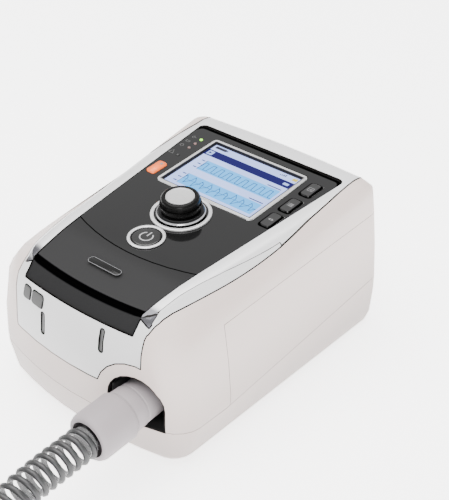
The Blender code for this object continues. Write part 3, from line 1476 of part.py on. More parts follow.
def make_far_cuff(line, length):
    """The cuff on the hose's other end, lying on the coil in line with it."""
    end = line_at(line, length)
    along = (end - line_at(line, length - LINE_STEP)).normalized()
    along.z = 0.0
    along.normalize()
    origin = end + along * (GAP + FAR_CUFF_LENGTH)
    place = Matrix.Translation(origin) @ (-along).to_track_quat("Z", "Y").to_matrix().to_4x4()
    lip = FAR_CUFF_RADIUS - FAR_CUFF_LIP
    outer = (
        (lip - CUFF_ROUND / 4, FAR_CUFF_LENGTH),
        (lip, FAR_CUFF_LENGTH - CUFF_ROUND / 2),
        (lip, FAR_CUFF_LIP_LENGTH),
        (FAR_CUFF_RADIUS, FAR_CUFF_LIP_LENGTH - FAR_CUFF_LIP),
        (FAR_CUFF_RADIUS, 0.0),
    )
    cuff("far_cuff", outer, FAR_CUFF_LENGTH, place)


# Breathing hose

def smooth_through(points):
    """A Catmull-Rom curve through the route's points, as closely spaced points."""
    ends = [2 * points[0] - points[1], *points, 2 * points[-1] - points[-2]]
    line = []
    for a, b, c, d in zip(ends, ends[1:], ends[2:], ends[3:]):
        steps = max(1, round((c - b).length / LINE_STEP))
        for step in range(steps):
            t = step / steps
            line.append(
                0.5
                * (
                    2 * b
                    + (c - a) * t
                    + (2 * a - 5 * b + 4 * c - d) * t ** 2
                    + (3 * b - a - 3 * c + d) * t ** 3
                )
            )
    return line + [points[-1]]


def over(stretch, turns):
    """0 before the stretch of turns, 1 after it, smooth between."""
    start, end = stretch
    return smooth_step((turns - start) / (end - start))


def coil_point(turns):
    """A point of the coil: two turns side by side on the floor and a third on both."""
    radius = COIL_RADIUS
    radius -= (COIL_RADIUS - COIL_INNER_RADIUS) * over(COIL_INWARD, turns)
    radius += (COIL_UPPER_RADIUS - COIL_INNER_RADIUS) * over(COIL_OUTWARD, turns)
    height = HOSE_RADIUS + FLOOR_LIFT
    height += COIL_CROSSING_RISE * over(COIL_CLIMB, turns)
    height -= (COIL_CROSSING_RISE - COIL_GROOVE_RISE) * over(COIL_SETTLE, turns)
    height += (COIL_END_RISE - COIL_GROOVE_RISE) * over(COIL_LAST_CLIMB, turns)
    angle = -2 * math.pi * turns
    return Vector(
        (
            OUTLET_X - COIL_RADIUS + radius * math.cos(angle),
            COIL_START_Y + radius * math.sin(angle),
            height,
        )
    )


def hose_line():
    """The hose's middle line from its cuff to its far end."""
    first_y, first_z = HOSE_ROUTE[0]
    last_z = HOSE_ROUTE[-1][1]
    drop = (OUTLET_Z - last_z) / (first_z - last_z)
    route = [
        Vector((OUTLET_X, HOSE_START_Y + y - first_y, last_z + (z - last_z) * drop))
        for y, z in HOSE_ROUTE
    ]
    line = smooth_through(route)
    line = [point for point in line if point.y > route[-1].y + LINE_STEP / 2]
    start = coil_point(0.0)
    straight = line[-1].y - start.y
    count = round(straight / LINE_STEP)
    line += [line[-1].lerp(start, i / count) for i in range(1, count)]
    count = round(2 * math.pi * COIL_RADIUS * COIL_TURNS / LINE_STEP)
    line += [coil_point(COIL_TURNS * i / count) for i in range(count + 1)]
    along = line[-1] - line[-2]
    along.z = 0.0
    along.normalize()
    return line + [line[-1] + along * 2 * HOSE_RADIUS]


def with_lengths(points):
    lengths = [0.0]
    for a, b in zip(points, points[1:]):
        lengths.append(lengths[-1] + (b - a).length)
    return points, lengths


def line_at(line, distance):
    """The point a given distance along the line, or straight on past its ends."""
    points, lengths = line
    i = min(max(bisect.bisect_right(lengths, distance) - 1, 0), len(points) - 2)
    share = (distance - lengths[i]) / (lengths[i + 1] - lengths[i])
    return points[i] + (points[i + 1] - points[i]) * share


def bent_tube(name, stations, radius, resolution):
    """A tube through stations of a point and its share of the radius."""
    curve = bpy.data.curves.new(name, "CURVE")
    curve.dimensions = "3D"
    curve.bevel_depth = radius
    curve.bevel_resolution = resolution
    curve.use_fill_caps = True
    spline = curve.splines.new("POLY")
    spline.points.add(len(stations) - 1)
    for point, (place, share) in zip(spline.points, stations):
        point.co = (*place, 1)
        point.radius = share
    made = bpy.data.objects.new(name, curve)
    CUTTERS.objects.link(made)
    return settle(made)


def ribbed_hose(name, line, start, end):
    """A ribbed stretch of the hose, with its bore cut right through."""
    ribs = round((end - start) / RIB_PITCH)
    valley = HOSE_VALLEY_RADIUS / HOSE_RADIUS
    stations = []
    for i in range(2 * ribs + 1):
        place = line_at(line, start + (end - start) * i / (2 * ribs))
        stations.append((place, valley if i % 2 else 1.0))
    hose = bent_tube(name, stations, HOSE_RADIUS, 2)
    steps = round((end - start) / BORE_STEP)
    places = [start - OVERRUN]
    places += [start + (end - start) * i / steps for i in range(steps + 1)]
    places.append(end + OVERRUN)
    bore = bent_tube("bore", [(line_at(line, place), 1.0) for place in places], HOSE_BORE, 1)
    as_part(cut(hose, bore), "hose_grey")
    return ribs


def least_gap(line):
    """The least space between two stretches of the hose that lie side by side."""
    points, lengths = line
    apart = math.pi * COIL_RADIUS
    step = max(1, round(HOSE_RADIUS / LINE_STEP / 2))
    picked = list(zip(points, lengths))[::step]
    least = min(
        (a - b).length
        for i, (a, s) in enumerate(picked)
        for b, t in picked[i + 1:]
        if t - s > apart
    )
    return least - 2 * HOSE_RADIUS


def make_hose():
    line = with_lengths(hose_line())
    points, lengths = line
    total = lengths[-1]
    join = next(s for point, s in zip(points, lengths) if point.y < HOSE_JOIN_Y)
    ribs = ribbed_hose("air_hose", line, 0.0, join - GAP / 2)
    ribs += ribbed_hose("hose_coil", line, join + GAP / 2, total)
    make_far_cuff(line, total)
    print(f"hose length {total:.3f} m, {ribs} ribs, least gap to itself {least_gap(line):.4f} m")


# Inside the casing

def upright_box(name, width, length, height, x, y):
    """A rounded box that stands on the casing's floor."""
    low = FLOOR_Z + GAP
    outline = rounded(width, length, BOX_CORNER, steps=2)
    return plate(name, [outline], low, low + height, at(x, y, 0))


def post_tops(x, y, width, length, side):
    """Two places near the front and rear of a box, towards the casing's side wall."""
    across = x + side * (width / 2 - POST_INSET)
    reach = length / 2 - POST_INSET
    return (across, y - reach), (across, y + reach)


def with_posts(made, low, places):
    for x, y in places:
        post = rod(
            "post", POST_RADIUS, low - GAP, MAIN_BOARD_Z - GAP, at(x, y, 0), SMALL_SEGMENTS
        )
        made = fuse(made, post)
    return made


def make_power_supply():
    supply = upright_box(
        "power_supply", SUPPLY_WIDTH, SUPPLY_LENGTH, SUPPLY_HEIGHT, SUPPLY_X, SUPPLY_Y
    )
    top = FLOOR_Z + GAP + SUPPLY_HEIGHT
    places = post_tops(SUPPLY_X, SUPPLY_Y, SUPPLY_WIDTH, SUPPLY_LENGTH, -1)
    as_part(with_posts(supply, top, places), "module_grey")


def make_battery():
    battery = upright_box(
        "battery_pack", BATTERY_WIDTH, BATTERY_LENGTH, BATTERY_HEIGHT, BATTERY_X, BATTERY_Y
    )
    as_part(battery, "gloss_black")


def make_silencer():
    """A hollow box that calms the air on its way from the filter to the blower."""
    made = upright_box(
        "silencer_box", SILENCER_WIDTH, SILENCER_LENGTH, SILENCER_HEIGHT, SILENCER_X, SILENCER_Y
    )
    low = FLOOR_Z + GAP
    top = low + SILENCER_HEIGHT
    room = box(
        "room",
        (
            SILENCER_WIDTH - 2 * SILENCER_WALL,
            SILENCER_LENGTH - 2 * SILENCER_WALL,
            SILENCER_HEIGHT - 2 * SILENCER_WALL,
        ),
        at(SILENCER_X, SILENCER_Y, (low + top) / 2),
    )
    window = box(
        "window",
        (SILENCER_INLET_WIDTH, 2 * SILENCER_LENGTH, SILENCER_INLET_HEIGHT),
        at(SILENCER_X, SILENCER_Y, (low + top) / 2),
    )
    places = post_tops(SILENCER_X, SILENCER_Y, SILENCER_WIDTH, SILENCER_LENGTH, 1)
    as_part(with_posts(cut(made, room, window), top, places), "rubber_black")


def make_main_board():
    """The main board, on two posts of the power supply and two of the silencer."""
    y = (SUPPLY_Y + SILENCER_Y) / 2
    length = SUPPLY_LENGTH
    board = plate(
        "main_board",
        [rounded(MAIN_BOARD_WIDTH, length, BOX_CORNER, 0.0, y, 2)],
        MAIN_BOARD_Z,
        MAIN_BOARD_Z + BOARD_THICKNESS,
        Matrix.Identity(4),
    )
    top = MAIN_BOARD_Z + BOARD_THICKNESS
    for side in (-1, 1):
        x = side * MAIN_BOARD_WIDTH / 4
        chip = box(
            "chip", (CHIP_WIDTH, CHIP_WIDTH, 2 * CHIP_HEIGHT), at(x, y, top)
        )
        board = fuse(board, chip)
    under = block(
        "under", (-FAR, -FAR, 0.0), (FAR, FAR, MAIN_BOARD_Z)
    )
    as_part(cut(board, under), "board_green")


def make_blower():
    """Blower housing with its nozzle, and the impeller and motor inside and below it."""
    place = at(BLOWER_X, BLOWER_Y, 0)
    housing = rod("blower_housing", BLOWER_RADIUS, BLOWER_FLOOR_Z, BLOWER_TOP_Z, place)
    nozzle_place = at(OUTLET_X, BLOWER_Y, OUTLET_Z) @ FORWARD
    nozzle = rod("nozzle", OUTLET_RADIUS, 0.0, NOZZLE_REACH, nozzle_place, TUBE_SEGMENTS)
    inner_low = BLOWER_FLOOR_Z + BLOWER_WALL
    inner_high = BLOWER_TOP_Z - BLOWER_WALL
    room = rod("room", BLOWER_RADIUS - BLOWER_WALL, inner_low, inner_high, place)
    bore_end = NOZZLE_REACH + OVERRUN
    bore = rod("bore", OUTLET_BORE, OVERRUN, bore_end, nozzle_place, TUBE_SEGMENTS)
    inlet = rod(
        "inlet",
        BLOWER_INLET_RADIUS,
        inner_high - OVERRUN,
        BLOWER_TOP_Z + OVERRUN,
        place,
        TUBE_SEGMENTS,
    )
    shaft_hole = rod(
        "shaft_hole",
        MOTOR_SHAFT_RADIUS + GAP,
        BLOWER_FLOOR_Z - OVERRUN,
        inner_low + OVERRUN,
        place,
        SMALL_SEGMENTS,
    )
    as_part(cut(fuse(housing, nozzle), room, bore, inlet, shaft_hole), "module_grey")

    disc_low = inner_low + IMPELLER_LIFT
    disc_high = disc_low + IMPELLER_DISC
    blade_high = disc_high + BLADE_HEIGHT
    bore_radius = MOTOR_SHAFT_RADIUS + GAP
    profile = (
        (IMPELLER_HUB_RADIUS, blade_high),
        (IMPELLER_HUB_RADIUS, disc_high),
        (IMPELLER_RADIUS, disc_high),
        (IMPELLER_RADIUS, disc_low),
        (bore_radius, disc_low),
        (bore_radius, blade_high),
    )
    impeller = turned("impeller", profile, place)
    blades = plate(
        "blades",
        [blade_outline(), circle(bore_radius + BLADE_THICKNESS, steps=SMALL_SEGMENTS)],
        disc_high - IMPELLER_DISC / 2,
        blade_high - EDGE,
        place,
    )
    as_part(fuse(impeller, blades), "white_plastic")

    motor_low = FLOOR_Z + GAP
    motor_high = BLOWER_FLOOR_Z - GAP
    profile = (
        (MOTOR_SHAFT_RADIUS, blade_high - EDGE),
        (MOTOR_SHAFT_RADIUS, motor_high),
        (MOTOR_RADIUS, motor_high),
        (MOTOR_RADIUS, motor_low),
    )
    as_part(turned("blower_motor", closed_profile(profile), place), "steel")


def blade_outline():
    """The hub with its swept blades, seen along the impeller's axis."""
    points = []
    root = IMPELLER_HUB_RADIUS - BLADE_THICKNESS
    tip = IMPELLER_RADIUS - BLADE_THICKNESS
    root_half = BLADE_THICKNESS / root
    tip_half = BLADE_THICKNESS / tip / 2
    for i in range(BLADE_COUNT):
        angle = 2 * math.pi * i / BLADE_COUNT
        for radius, turn in (
            (root, angle - root_half),
            (tip, angle + BLADE_SWEEP - tip_half),
            (tip, angle + BLADE_SWEEP + tip_half),
            (root, angle + root_half),
        ):
            points.append((radius * math.cos(turn), radius * math.sin(turn)))
    return points


def make_outlet_duct():
    """The rubber sleeve that joins the blower's nozzle to the outlet's tail."""
    inner = OUTLET_RADIUS + GAP
    low = BLOWER_RADIUS + DUCT_CLEARANCE - BLOWER_Y
    high = -PORT_FLOOR_Y - LINER_WALL - GAP
    duct = tube("outlet_duct", inner + DUCT_WALL, inner, low, high, OUTLET_PLACE, TUBE_SEGMENTS)
    as_part(duct, "rubber_black")


# Rear fittings

def make_filter():
    """The slotted filter cover, hinged along its lower edge, and the filter behind it."""
    hinge_z = FILTER_Z - FILTER_HEIGHT / 2
    hinge = at(FILTER_X, REAR_Y, hinge_z)
    outlines = [rounded(FILTER_WIDTH, FILTER_HEIGHT, EDGE, 0.0, FILTER_HEIGHT / 2, 1)]
    slot_width = FILTER_WIDTH - 2 * FILTER_SLOT_INSET
    pitch = (FILTER_HEIGHT - 2 * FILTER_SLOT_INSET) / (FILTER_SLOTS - 1)
    for i in range(FILTER_SLOTS):
        height = FILTER_SLOT_INSET + pitch * i
        outlines.append(rounded(slot_width, FILTER_SLOT, EDGE, 0.0, height, 1))
    cover = plate("filter_cover", outlines, -FILTER_COVER, 0.0, hinge @ REARWARD)
    as_part(cover, "case_white")
    rear_y = REAR_Y - FILTER_COVER - GAP
    foam = box(
        "air_filter",
        (FILTER_WIDTH, FILTER_THICKNESS, FILTER_HEIGHT),
        at(FILTER_X, rear_y - FILTER_THICKNESS / 2, FILTER_Z),
    )
    as_part(foam, "filter_foam")


def make_mains_inlet():
    """The mains socket with its three pins, in one body with the seat of its switch."""
    place = at(INLET_X, REAR_Y, INLET_Z) @ REARWARD
    body = plate(
        "mains_inlet",
        [rounded(INLET_WIDTH, INLET_HEIGHT, INLET_CORNER)],
        -INLET_DEPTH,
        0.0,
        place,
    )
    socket = plate(
        "socket",
        [rounded(SOCKET_WIDTH, SOCKET_HEIGHT, INLET_CORNER, SOCKET_SHIFT)],
        -SOCKET_DEPTH,
        OVERRUN,
        place,
    )
    seat = plate(
        "seat",
        [
            rounded(
                ROCKER_WIDTH + 2 * GAP, ROCKER_HEIGHT + 2 * ROCKER_PLAY, EDGE, -ROCKER_SHIFT
            )
        ],
        -ROCKER_DEPTH - ROCKER_PLAY,
        OVERRUN,
        place,
    )
    body = cut(body, socket, seat)
    for x, y in ((-PIN_SPREAD, 0.0), (0.0, PIN_SPREAD / 2), (PIN_SPREAD, 0.0)):
        pin = box(
            "pin",
            (PIN_WIDTH, PIN_HEIGHT, PIN_LENGTH + 2 * GAP),
            place @ at(SOCKET_SHIFT + x, y, PIN_LENGTH / 2 - SOCKET_DEPTH),
        )
        body = fuse(body, pin)
    as_part(body, "gloss_black")


def make_rocker():
    """The mains switch's rocker; its origin lies on its pivot."""
    pivot = at(INLET_X, REAR_Y - ROCKER_DEPTH / 2, INLET_Z) @ REARWARD @ at(-ROCKER_SHIFT, 0, 0)
    half = ROCKER_HEIGHT / 2
    face = ROCKER_DEPTH / 2
    outline = [
        (-half, -face),
        (half, -face),
        (half, face - GAP),
        (0.0, face - ROCKER_CREST),
        (-half, face - GAP),
    ]
    turn = Matrix(((0, 0, 1, 0), (1, 0, 0, 0), (0, 1, 0, 0), (0, 0, 0, 1)))
    rocker = plate("rocker_switch", [outline], -ROCKER_WIDTH / 2, ROCKER_WIDTH / 2, pivot @ turn)
    as_part(rocker, "rubber_black")


def make_oxygen_inlet():
    low = GAP
    profile = (
        (OXYGEN_RADIUS - EDGE, OXYGEN_REACH),
        (OXYGEN_RADIUS, OXYGEN_REACH - EDGE),
        (OXYGEN_RADIUS, low + OXYGEN_FLANGE),
        (OXYGEN_FLANGE_RADIUS, low + OXYGEN_FLANGE),
        (OXYGEN_FLANGE_RADIUS, low),
        (OXYGEN_RADIUS, low),
        (OXYGEN_RADIUS, -OXYGEN_TAIL),
        (OXYGEN_BORE, -OXYGEN_TAIL),
        (OXYGEN_BORE, OXYGEN_REACH),
    )
    place = at(OXYGEN_X, REAR_Y, OXYGEN_Z) @ REARWARD
    as_part(turned("oxygen_inlet", profile, place, SMALL_SEGMENTS), "steel")


def make_data_cover():
    cover = plate(
        "data_port_cover",
        [rounded(DATA_COVER_WIDTH, DATA_COVER_HEIGHT, DATA_COVER_CORNER)],
        -DATA_COVER_THICKNESS,
        0.0,
        at(INLET_X, REAR_Y, DATA_COVER_Z) @ REARWARD,
    )
    as_part(cover, "plug_grey")


make_casing()
make_feet()
make_screws()
make_plugs()
make_dark_panel()
make_tray()
make_screen()
make_dial()
make_keys()
make_power_button()
make_lights()
make_key_board()
make_port_liner()
make_outlet()
make_hose_cuff()
make_hose()
make_power_supply()
make_battery()
make_silencer()
make_main_board()
make_blower()
make_outlet_duct()
make_filter()
make_mains_inlet()
make_rocker()
make_oxygen_inlet()
make_data_cover()
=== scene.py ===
"""Looks of a portable transport ventilator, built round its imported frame. Metres, +Z up."""

import math

import bmesh
import bpy
from bpy.props import FloatProperty, FloatVectorProperty, IntProperty, PointerProperty
from mathutils import Matrix, Vector
from mathutils.bvhtree import BVHTree
from mathutils.interpolate import poly_3d_calc


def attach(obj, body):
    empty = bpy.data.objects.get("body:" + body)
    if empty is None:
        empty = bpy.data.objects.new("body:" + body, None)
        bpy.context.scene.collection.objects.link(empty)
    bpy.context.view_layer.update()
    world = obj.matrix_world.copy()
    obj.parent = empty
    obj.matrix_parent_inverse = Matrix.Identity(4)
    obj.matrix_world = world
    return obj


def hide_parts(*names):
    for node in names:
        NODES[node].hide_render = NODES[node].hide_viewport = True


bl_info = {
    "name": "Transport ventilator",
    "version": (1, 0, 0),
    "blender": (4, 5, 0),
    "location": "3D View > Sidebar > Ventilator",
    "description": "Finishes and fine pieces of a portable transport ventilator",
    "category": "Add Mesh",
}

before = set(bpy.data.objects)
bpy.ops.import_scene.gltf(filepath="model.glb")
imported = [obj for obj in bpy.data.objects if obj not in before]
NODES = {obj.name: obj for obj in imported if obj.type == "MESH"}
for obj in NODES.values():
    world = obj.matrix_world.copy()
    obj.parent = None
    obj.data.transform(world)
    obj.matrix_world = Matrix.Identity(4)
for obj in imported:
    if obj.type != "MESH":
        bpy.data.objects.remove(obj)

# The casing's skin, as in the part's source
HALF_WIDTH = 0.0856
HALF_LENGTH = 0.1165
CASE_HEIGHT = 0.119
REAR_BOW = 0.003
FRONT_DROP = 0.005
DROP_LENGTH = 0.0450

# Rings of the skin: share of the height, half widths and reaches in front and behind,
# the front's bow, and the reaches of the front and rear corners
SKIN_RINGS = (
    (0.0125, 0.847, 0.946, 0.888, 0.949, 0.117, 0.117, 0.105),
    (0.0300, 0.888, 0.976, 0.923, 0.970, 0.123, 0.129, 0.105),
    (0.0800, 0.935, 0.993, 0.957, 0.987, 0.140, 0.140, 0.105),
    (0.2400, 0.985, 1.000, 0.996, 1.000, 0.181, 0.152, 0.105),
    (0.3300, 0.993, 1.000, 1.000, 1.000, 0.187, 0.164, 0.105),
    (0.5600, 0.970, 0.986, 0.991, 0.991, 0.164, 0.187, 0.105),
    (0.8100, 0.923, 0.964, 0.961, 0.974, 0.129, 0.222, 0.111),
    (0.9050, 0.829, 0.961, 0.934, 0.961, 0.099, 0.210, 0.117),
    (0.9500, 0.701, 0.950, 0.908, 0.949, 0.076, 0.210, 0.094),
    (0.9850, 0.648, 0.911, 0.876, 0.919, 0.058, 0.164, 0.105),
    (1.0000, 0.631, 0.841, 0.846, 0.884, 0.053, 0.070, 0.140),
)

TOP_RINGS = (0.93, 0.81, 0.67, 0.50)
CORNER_BULGE = 0.55
SKIN_REACH = 0.004
SKIN_ANGLE = math.radians(38)
# Painted shade: the shells' colour at the floor as a share of itself, fading out by 70 % of the
# casing's height
SHELL_LOW_SHADE = 0.58
MERGE_REACH = 0.000005

# Joint lines on the skin, drawn dark as painted shade of the gaps between the pieces
SEAM_WALL_DOT = 0.75
SEAM_SKIN_DOT = 0.70
SEAM_BEND_DOT = 0.80
SEAM_LIFT = 0.00010
SEAM_GAP = 0.0003
SEAM_LINE = 0.00045
FRAME_LINE = 0.00075
# The cover's joint line is painted shade: light grey left of the first x, black right of the second
SEAM_PALE_X = -0.0050
SEAM_BLACK_X = 0.0150
ARMS_START_Y = -0.0950
ARMS_END_Y = 0.0125
REAR_FIELD_Y = 0.1000
REAR_FIELD_Z = (0.0350, 0.0920)
REAR_LINE = 0.0012
REAR_LINE_Y = 0.0800
REAR_GAP = 0.0012

# The front's two long slots with their floors painted dark as shade, and the frame's dark front
# ends
SLOT_X = 0.0260
SLOT_LEFT_Z = 0.0750
SLOT_RIGHT_Z = 0.0865
SLOT_WIDTH = 0.0032
SLOT_LENGTH = 0.0160
SLOT_CORNER = 0.0014
SLOT_FLOOR = -0.0016
SLOT_INSET = 0.0010
# Above this height and right of this x, the cover's joint line is painted black as shade
SLOTS_LOW_Z = 0.0630
SLOTS_LEFT_X = -0.0560
TRIM_SILVER_Y = -0.0840
TRIM_DARK_Y = -0.0900

# The control panel's own plane
PANEL_TILT = math.radians(2.5)
PANEL_ORIGIN = Vector((0.0, 0.0473, 0.1192))
PANEL_UP = Vector((0.0, math.cos(PANEL_TILT), math.sin(PANEL_TILT)))
PANEL_OUT = Vector((0.0, -math.sin(PANEL_TILT), math.cos(PANEL_TILT)))
PANEL_TOP = -0.0004
PRINT_LIFT = 0.00004
PRINT_THICKNESS = 0.00005

# Dial and power button, along and above the panel
DIAL_V = -0.0536
DIAL_RING_OUTER = 0.0209
DIAL_RING_INNER = 0.0183
DIAL_RING_RISE = 0.0012
SKIRT_LOW = 0.0014
SKIRT_HIGH = 0.0040
SKIRT_RADIUS = 0.0168
SKIRT_TOP_RADIUS = 0.0152
SKIRT_DARK = 0.0025
DRUM_LOW = 0.0043
DRUM_HIGH = 0.0143
DRUM_RADIUS = 0.0136
RIB_MARGIN = 0.0030
RIB_DROP = 0.0004
CAP_RADIUS = 0.0098
POWER_V = -0.0877
POWER_RING_OUTER = 0.0128
POWER_RING_INNER = 0.0106
POWER_RADIUS = 0.0097
SHAFT_BORE = 0.0033

# Keys, status lights and their signs, along the panel
MENU_KEY_U = 0.0524
MENU_KEY_VS = (0.0209, -0.0022, -0.0235)
ALARM_KEY = (-0.0518, -0.0212)
KEY_TOP = 0.0006
KEY_WIDTH = 0.0073
KEY_LENGTH = 0.015
LIGHT_U = -0.0510
LIGHT_SIGN_VS = (0.0263, 0.0195, 0.0128)
LAMP_TINTS = (
    (0.30, 0.90, 0.02),
    (0.16, 0.09, 0.085),
    (0.13, 0.085, 0.08),
    (0.010, 0.010, 0.010),
)
BELL_PLACE = (-0.0578, 0.0016)

# Display
WINDOW_WIDTH = 0.079
WINDOW_HEIGHT = 0.060
WINDOW_TOP = -0.0010
BEZEL_DARK = 0.0007
DISPLAY_GLOW = 2.1
DISPLAY_LEFT = -WINDOW_WIDTH / 2
TITLE_V = WINDOW_HEIGHT * 0.295
TITLE_ARROW = ((0.0034, 0.0012), (0.0034, -0.0012), (0.0062, 0.0))
STATUS_V = WINDOW_HEIGHT / 2 - 0.0040
EDGE_LINE = 0.0014
WAVE_LINE = 0.00042
WAVE_THICKNESS = 0.00006
SIGNAL_BARS = 4
SIGNAL_LEFT = -DISPLAY_LEFT - 0.0165
SIGNAL_LOW = STATUS_V - 0.0012
SIGNAL_PITCH = 0.0014
SIGNAL_WIDTH = 0.0008
SIGNAL_LEAST = 0.0010
SIGNAL_GROWTH = 0.0006
BAR_INK, GRAPH_INK, CURVE_INK, BLACK_INK, YELLOW_INK, PALE_INK = range(6)
DISPLAY_TINTS = (
    (0.003, 0.018, 0.110),
    (0.020, 0.020, 0.030),
    (0.52, 0.42, 0.06),
    (0.30, 0.42, 0.80),
)

# Plain blocks on the display: ink, layer, width, height, corner, middle and corner steps
DISPLAY_BLOCKS = (
    (BAR_INK, 0, WINDOW_WIDTH - 0.0006, WINDOW_HEIGHT * 0.125, 0.0002, 0, TITLE_V, 1),
    (PALE_INK, 1, 0.0052, 0.0052, 0.0008, DISPLAY_LEFT + 0.0048, TITLE_V, 3),
    (PALE_INK, 1, 0.0046, 0.0026, 0.0005, -DISPLAY_LEFT - 0.0060, TITLE_V, 2),
    (BLACK_INK, 0, 0.0100, 0.0028, 0.0005, DISPLAY_LEFT + 0.0080, STATUS_V, 2),
    (BLACK_INK, 0, 0.0018, 0.0012, 0.0002, DISPLAY_LEFT + 0.0136, STATUS_V, 2),
    (YELLOW_INK, 0, 0.0040, 0.0028, 0.0004, -DISPLAY_LEFT - 0.0040, STATUS_V - 0.0006, 2),
)

# Breathing outlet, cuffs and hose
OUTLET_X = 0.0504
OUTLET_Z = 0.0478
CUFF_START = 0.0881
# Painted shade on the cuff: on its neck inside the outlet's recess, and in its mouth
NECK_DARK_Y = -0.0981
NECK_LIGHT_Y = -0.1126
CUFF_MOUTH_OUTER = 0.0125
CUFF_MOUTH_INNER = 0.0121
HOSE_ROUTE = (
    (-0.1506, 0.0478),
    (-0.1690, 0.0478),
    (-0.1870, 0.0478),
    (-0.2036, 0.0464),
    (-0.2203, 0.0426),
    (-0.2369, 0.0368),
    (-0.2535, 0.0299),
    (-0.2701, 0.0230),
    (-0.2868, 0.0172),
    (-0.3034, 0.0134),
    (-0.3200, 0.0120),
    (-0.3360, 0.0120),
)
COIL_RADIUS = 0.120
COIL_INNER_RADIUS = 0.096
COIL_UPPER_RADIUS = 0.108
COIL_TURNS = 2.25
COIL_START_Y = -0.3365
COIL_HEIGHT = 0.0120
COIL_INWARD = (0.5, 1.0)
COIL_CLIMB = (1.36, 1.78)
COIL_OUTWARD = (1.60, 2.05)
COIL_SETTLE = (1.85, 2.15)
COIL_LAST_CLIMB = (1.95, 2.25)
COIL_CROSSING_RISE = 0.0245
COIL_GROOVE_RISE = 0.0213
COIL_END_RISE = 0.0264
LINE_STEP = 0.002
HOSE_END_STRAIGHT = 2 * 0.0117
STRAND_SIDES = 7
STRAND_STEPS = 20.0
FILM_SIDES = 20
FILM_STEPS = 4.0
FILM_SAG = 0.0006

# Profiles of turned pieces: radius and height
OUTLET_CUFF = (
    (0.0113, 0.0),
    (0.0136, 0.0),
    (0.0141, 0.0006),
    (0.0142, 0.0218),
    (0.0137, 0.0222),
    (0.0137, 0.0230),
    (0.0146, 0.0234),
    (0.0149, 0.0322),
    (0.0145, 0.0326),
    (0.0145, 0.0333),
    (0.0158, 0.0338),
    (0.0166, 0.0352),
    (0.0166, 0.0578),
    (0.0164, 0.0592),
    (0.0157, 0.0610),
    (0.0146, 0.0620),
    (0.0133, 0.0622),
    (0.0124, 0.0622),
    (0.0121, 0.0616),
    (0.0121, 0.0550),
    (0.0080, 0.0550),
    (0.0080, 0.0233),
    (0.0113, 0.0200),
)
MASK_CUFF = (
    (0.0124, 0.0002),
    (0.0133, 0.0004),
    (0.0136, 0.0012),
    (0.0137, 0.0330),
    (0.0142, 0.0336),
    (0.0142, 0.0416),
    (0.0138, 0.0421),
    (0.0114, 0.0421),
    (0.0113, 0.0415),
    (0.0113, 0.0220),
    (0.0080, 0.0190),
    (0.0080, 0.0070),
    (0.0124, 0.0070),
)
DIAL_RING = (
    (DIAL_RING_INNER, -0.0003),
    (DIAL_RING_OUTER, -0.0003),
    (DIAL_RING_OUTER, DIAL_RING_RISE - 0.0003),
    (DIAL_RING_OUTER - 0.0005, DIAL_RING_RISE),
    (DIAL_RING_INNER + 0.0004, DIAL_RING_RISE),
    (DIAL_RING_INNER, DIAL_RING_RISE - 0.0004),
)
DIAL_SKIRT = (
    (SHAFT_BORE, SKIRT_LOW),
    (SKIRT_RADIUS, SKIRT_LOW),
    (SKIRT_RADIUS, SKIRT_LOW + 0.0005),
    (SKIRT_RADIUS - 0.0004, SKIRT_LOW + 0.0011),
    (SKIRT_TOP_RADIUS + 0.0003, SKIRT_HIGH - 0.0004),
    (SKIRT_TOP_RADIUS, SKIRT_HIGH),
    (SHAFT_BORE, SKIRT_HIGH),
)
DIAL_DRUM = (
    (SHAFT_BORE, DRUM_LOW),
    (DRUM_RADIUS, DRUM_LOW),
    (DRUM_RADIUS - 0.0002, DRUM_HIGH - 0.0020),
    (DRUM_RADIUS - 0.0007, DRUM_HIGH - 0.0006),
    (DRUM_RADIUS - 0.0018, DRUM_HIGH),
    (CAP_RADIUS + 0.0003, DRUM_HIGH),
    (CAP_RADIUS + 0.0003, 0.0118),
    (SHAFT_BORE, 0.0118),
)
DIAL_CAP = (
    (0.0, 0.0121),
    (CAP_RADIUS, 0.0121),
    (CAP_RADIUS, 0.0140),
    (CAP_RADIUS - 0.0004, 0.0143),
    (CAP_RADIUS - 0.0008, 0.0141),
    (CAP_RADIUS - 0.0012, 0.0137),
    (0.0, 0.0138),
)
POWER_RING = (
    (POWER_RING_INNER, -0.0001),
    (POWER_RING_OUTER, -0.0001),
    (POWER_RING_OUTER, 0.0006),
    (POWER_RING_OUTER - 0.0004, 0.0009),
    (POWER_RING_INNER + 0.0004, 0.0009),
    (POWER_RING_INNER, 0.0005),
)
POWER_BUTTON = (
    (0.0, -0.0042),
    (POWER_RADIUS, -0.0042),
    (POWER_RADIUS, 0.0001),
    (POWER_RADIUS - 0.0005, 0.0006),
    (0.0, 0.0006),
)

# Printed marks, painted shade round the keys, the plain badge and the gloss of the panel
# The black ring of painted shade round each menu key: its margin, corner and line width
KEY_SHADE_MARGIN = 0.0020
KEY_SHADE_CORNER = 0.0022
KEY_SHADE_LINE = 0.0014
POWER_SIGN = 0.0044
POWER_LINE = 0.0009
BADGE_WIDTH = 0.0270
BADGE_HEIGHT = 0.0056
BADGE_V = -0.1262
BADGE_LIFT = 0.00002
BADGE_THICKNESS = 0.0004
BADGE_RIM = 0.0003
PANEL_ROUGHNESS = 0.30
PANEL_COAT = 0.75
# Where the front plate loses its coat and takes a lighter grey as painted reflection
MATT_Y = -0.0700
MATT_FADE = 0.020
ROLL_START = 0.0950
ROLL_END = 0.0958
NOSE_BOW = 1.5
NOSE_LIFT = 0.35
BAND_LOW_Z = 0.1060
BAND_FADE = 0.0003

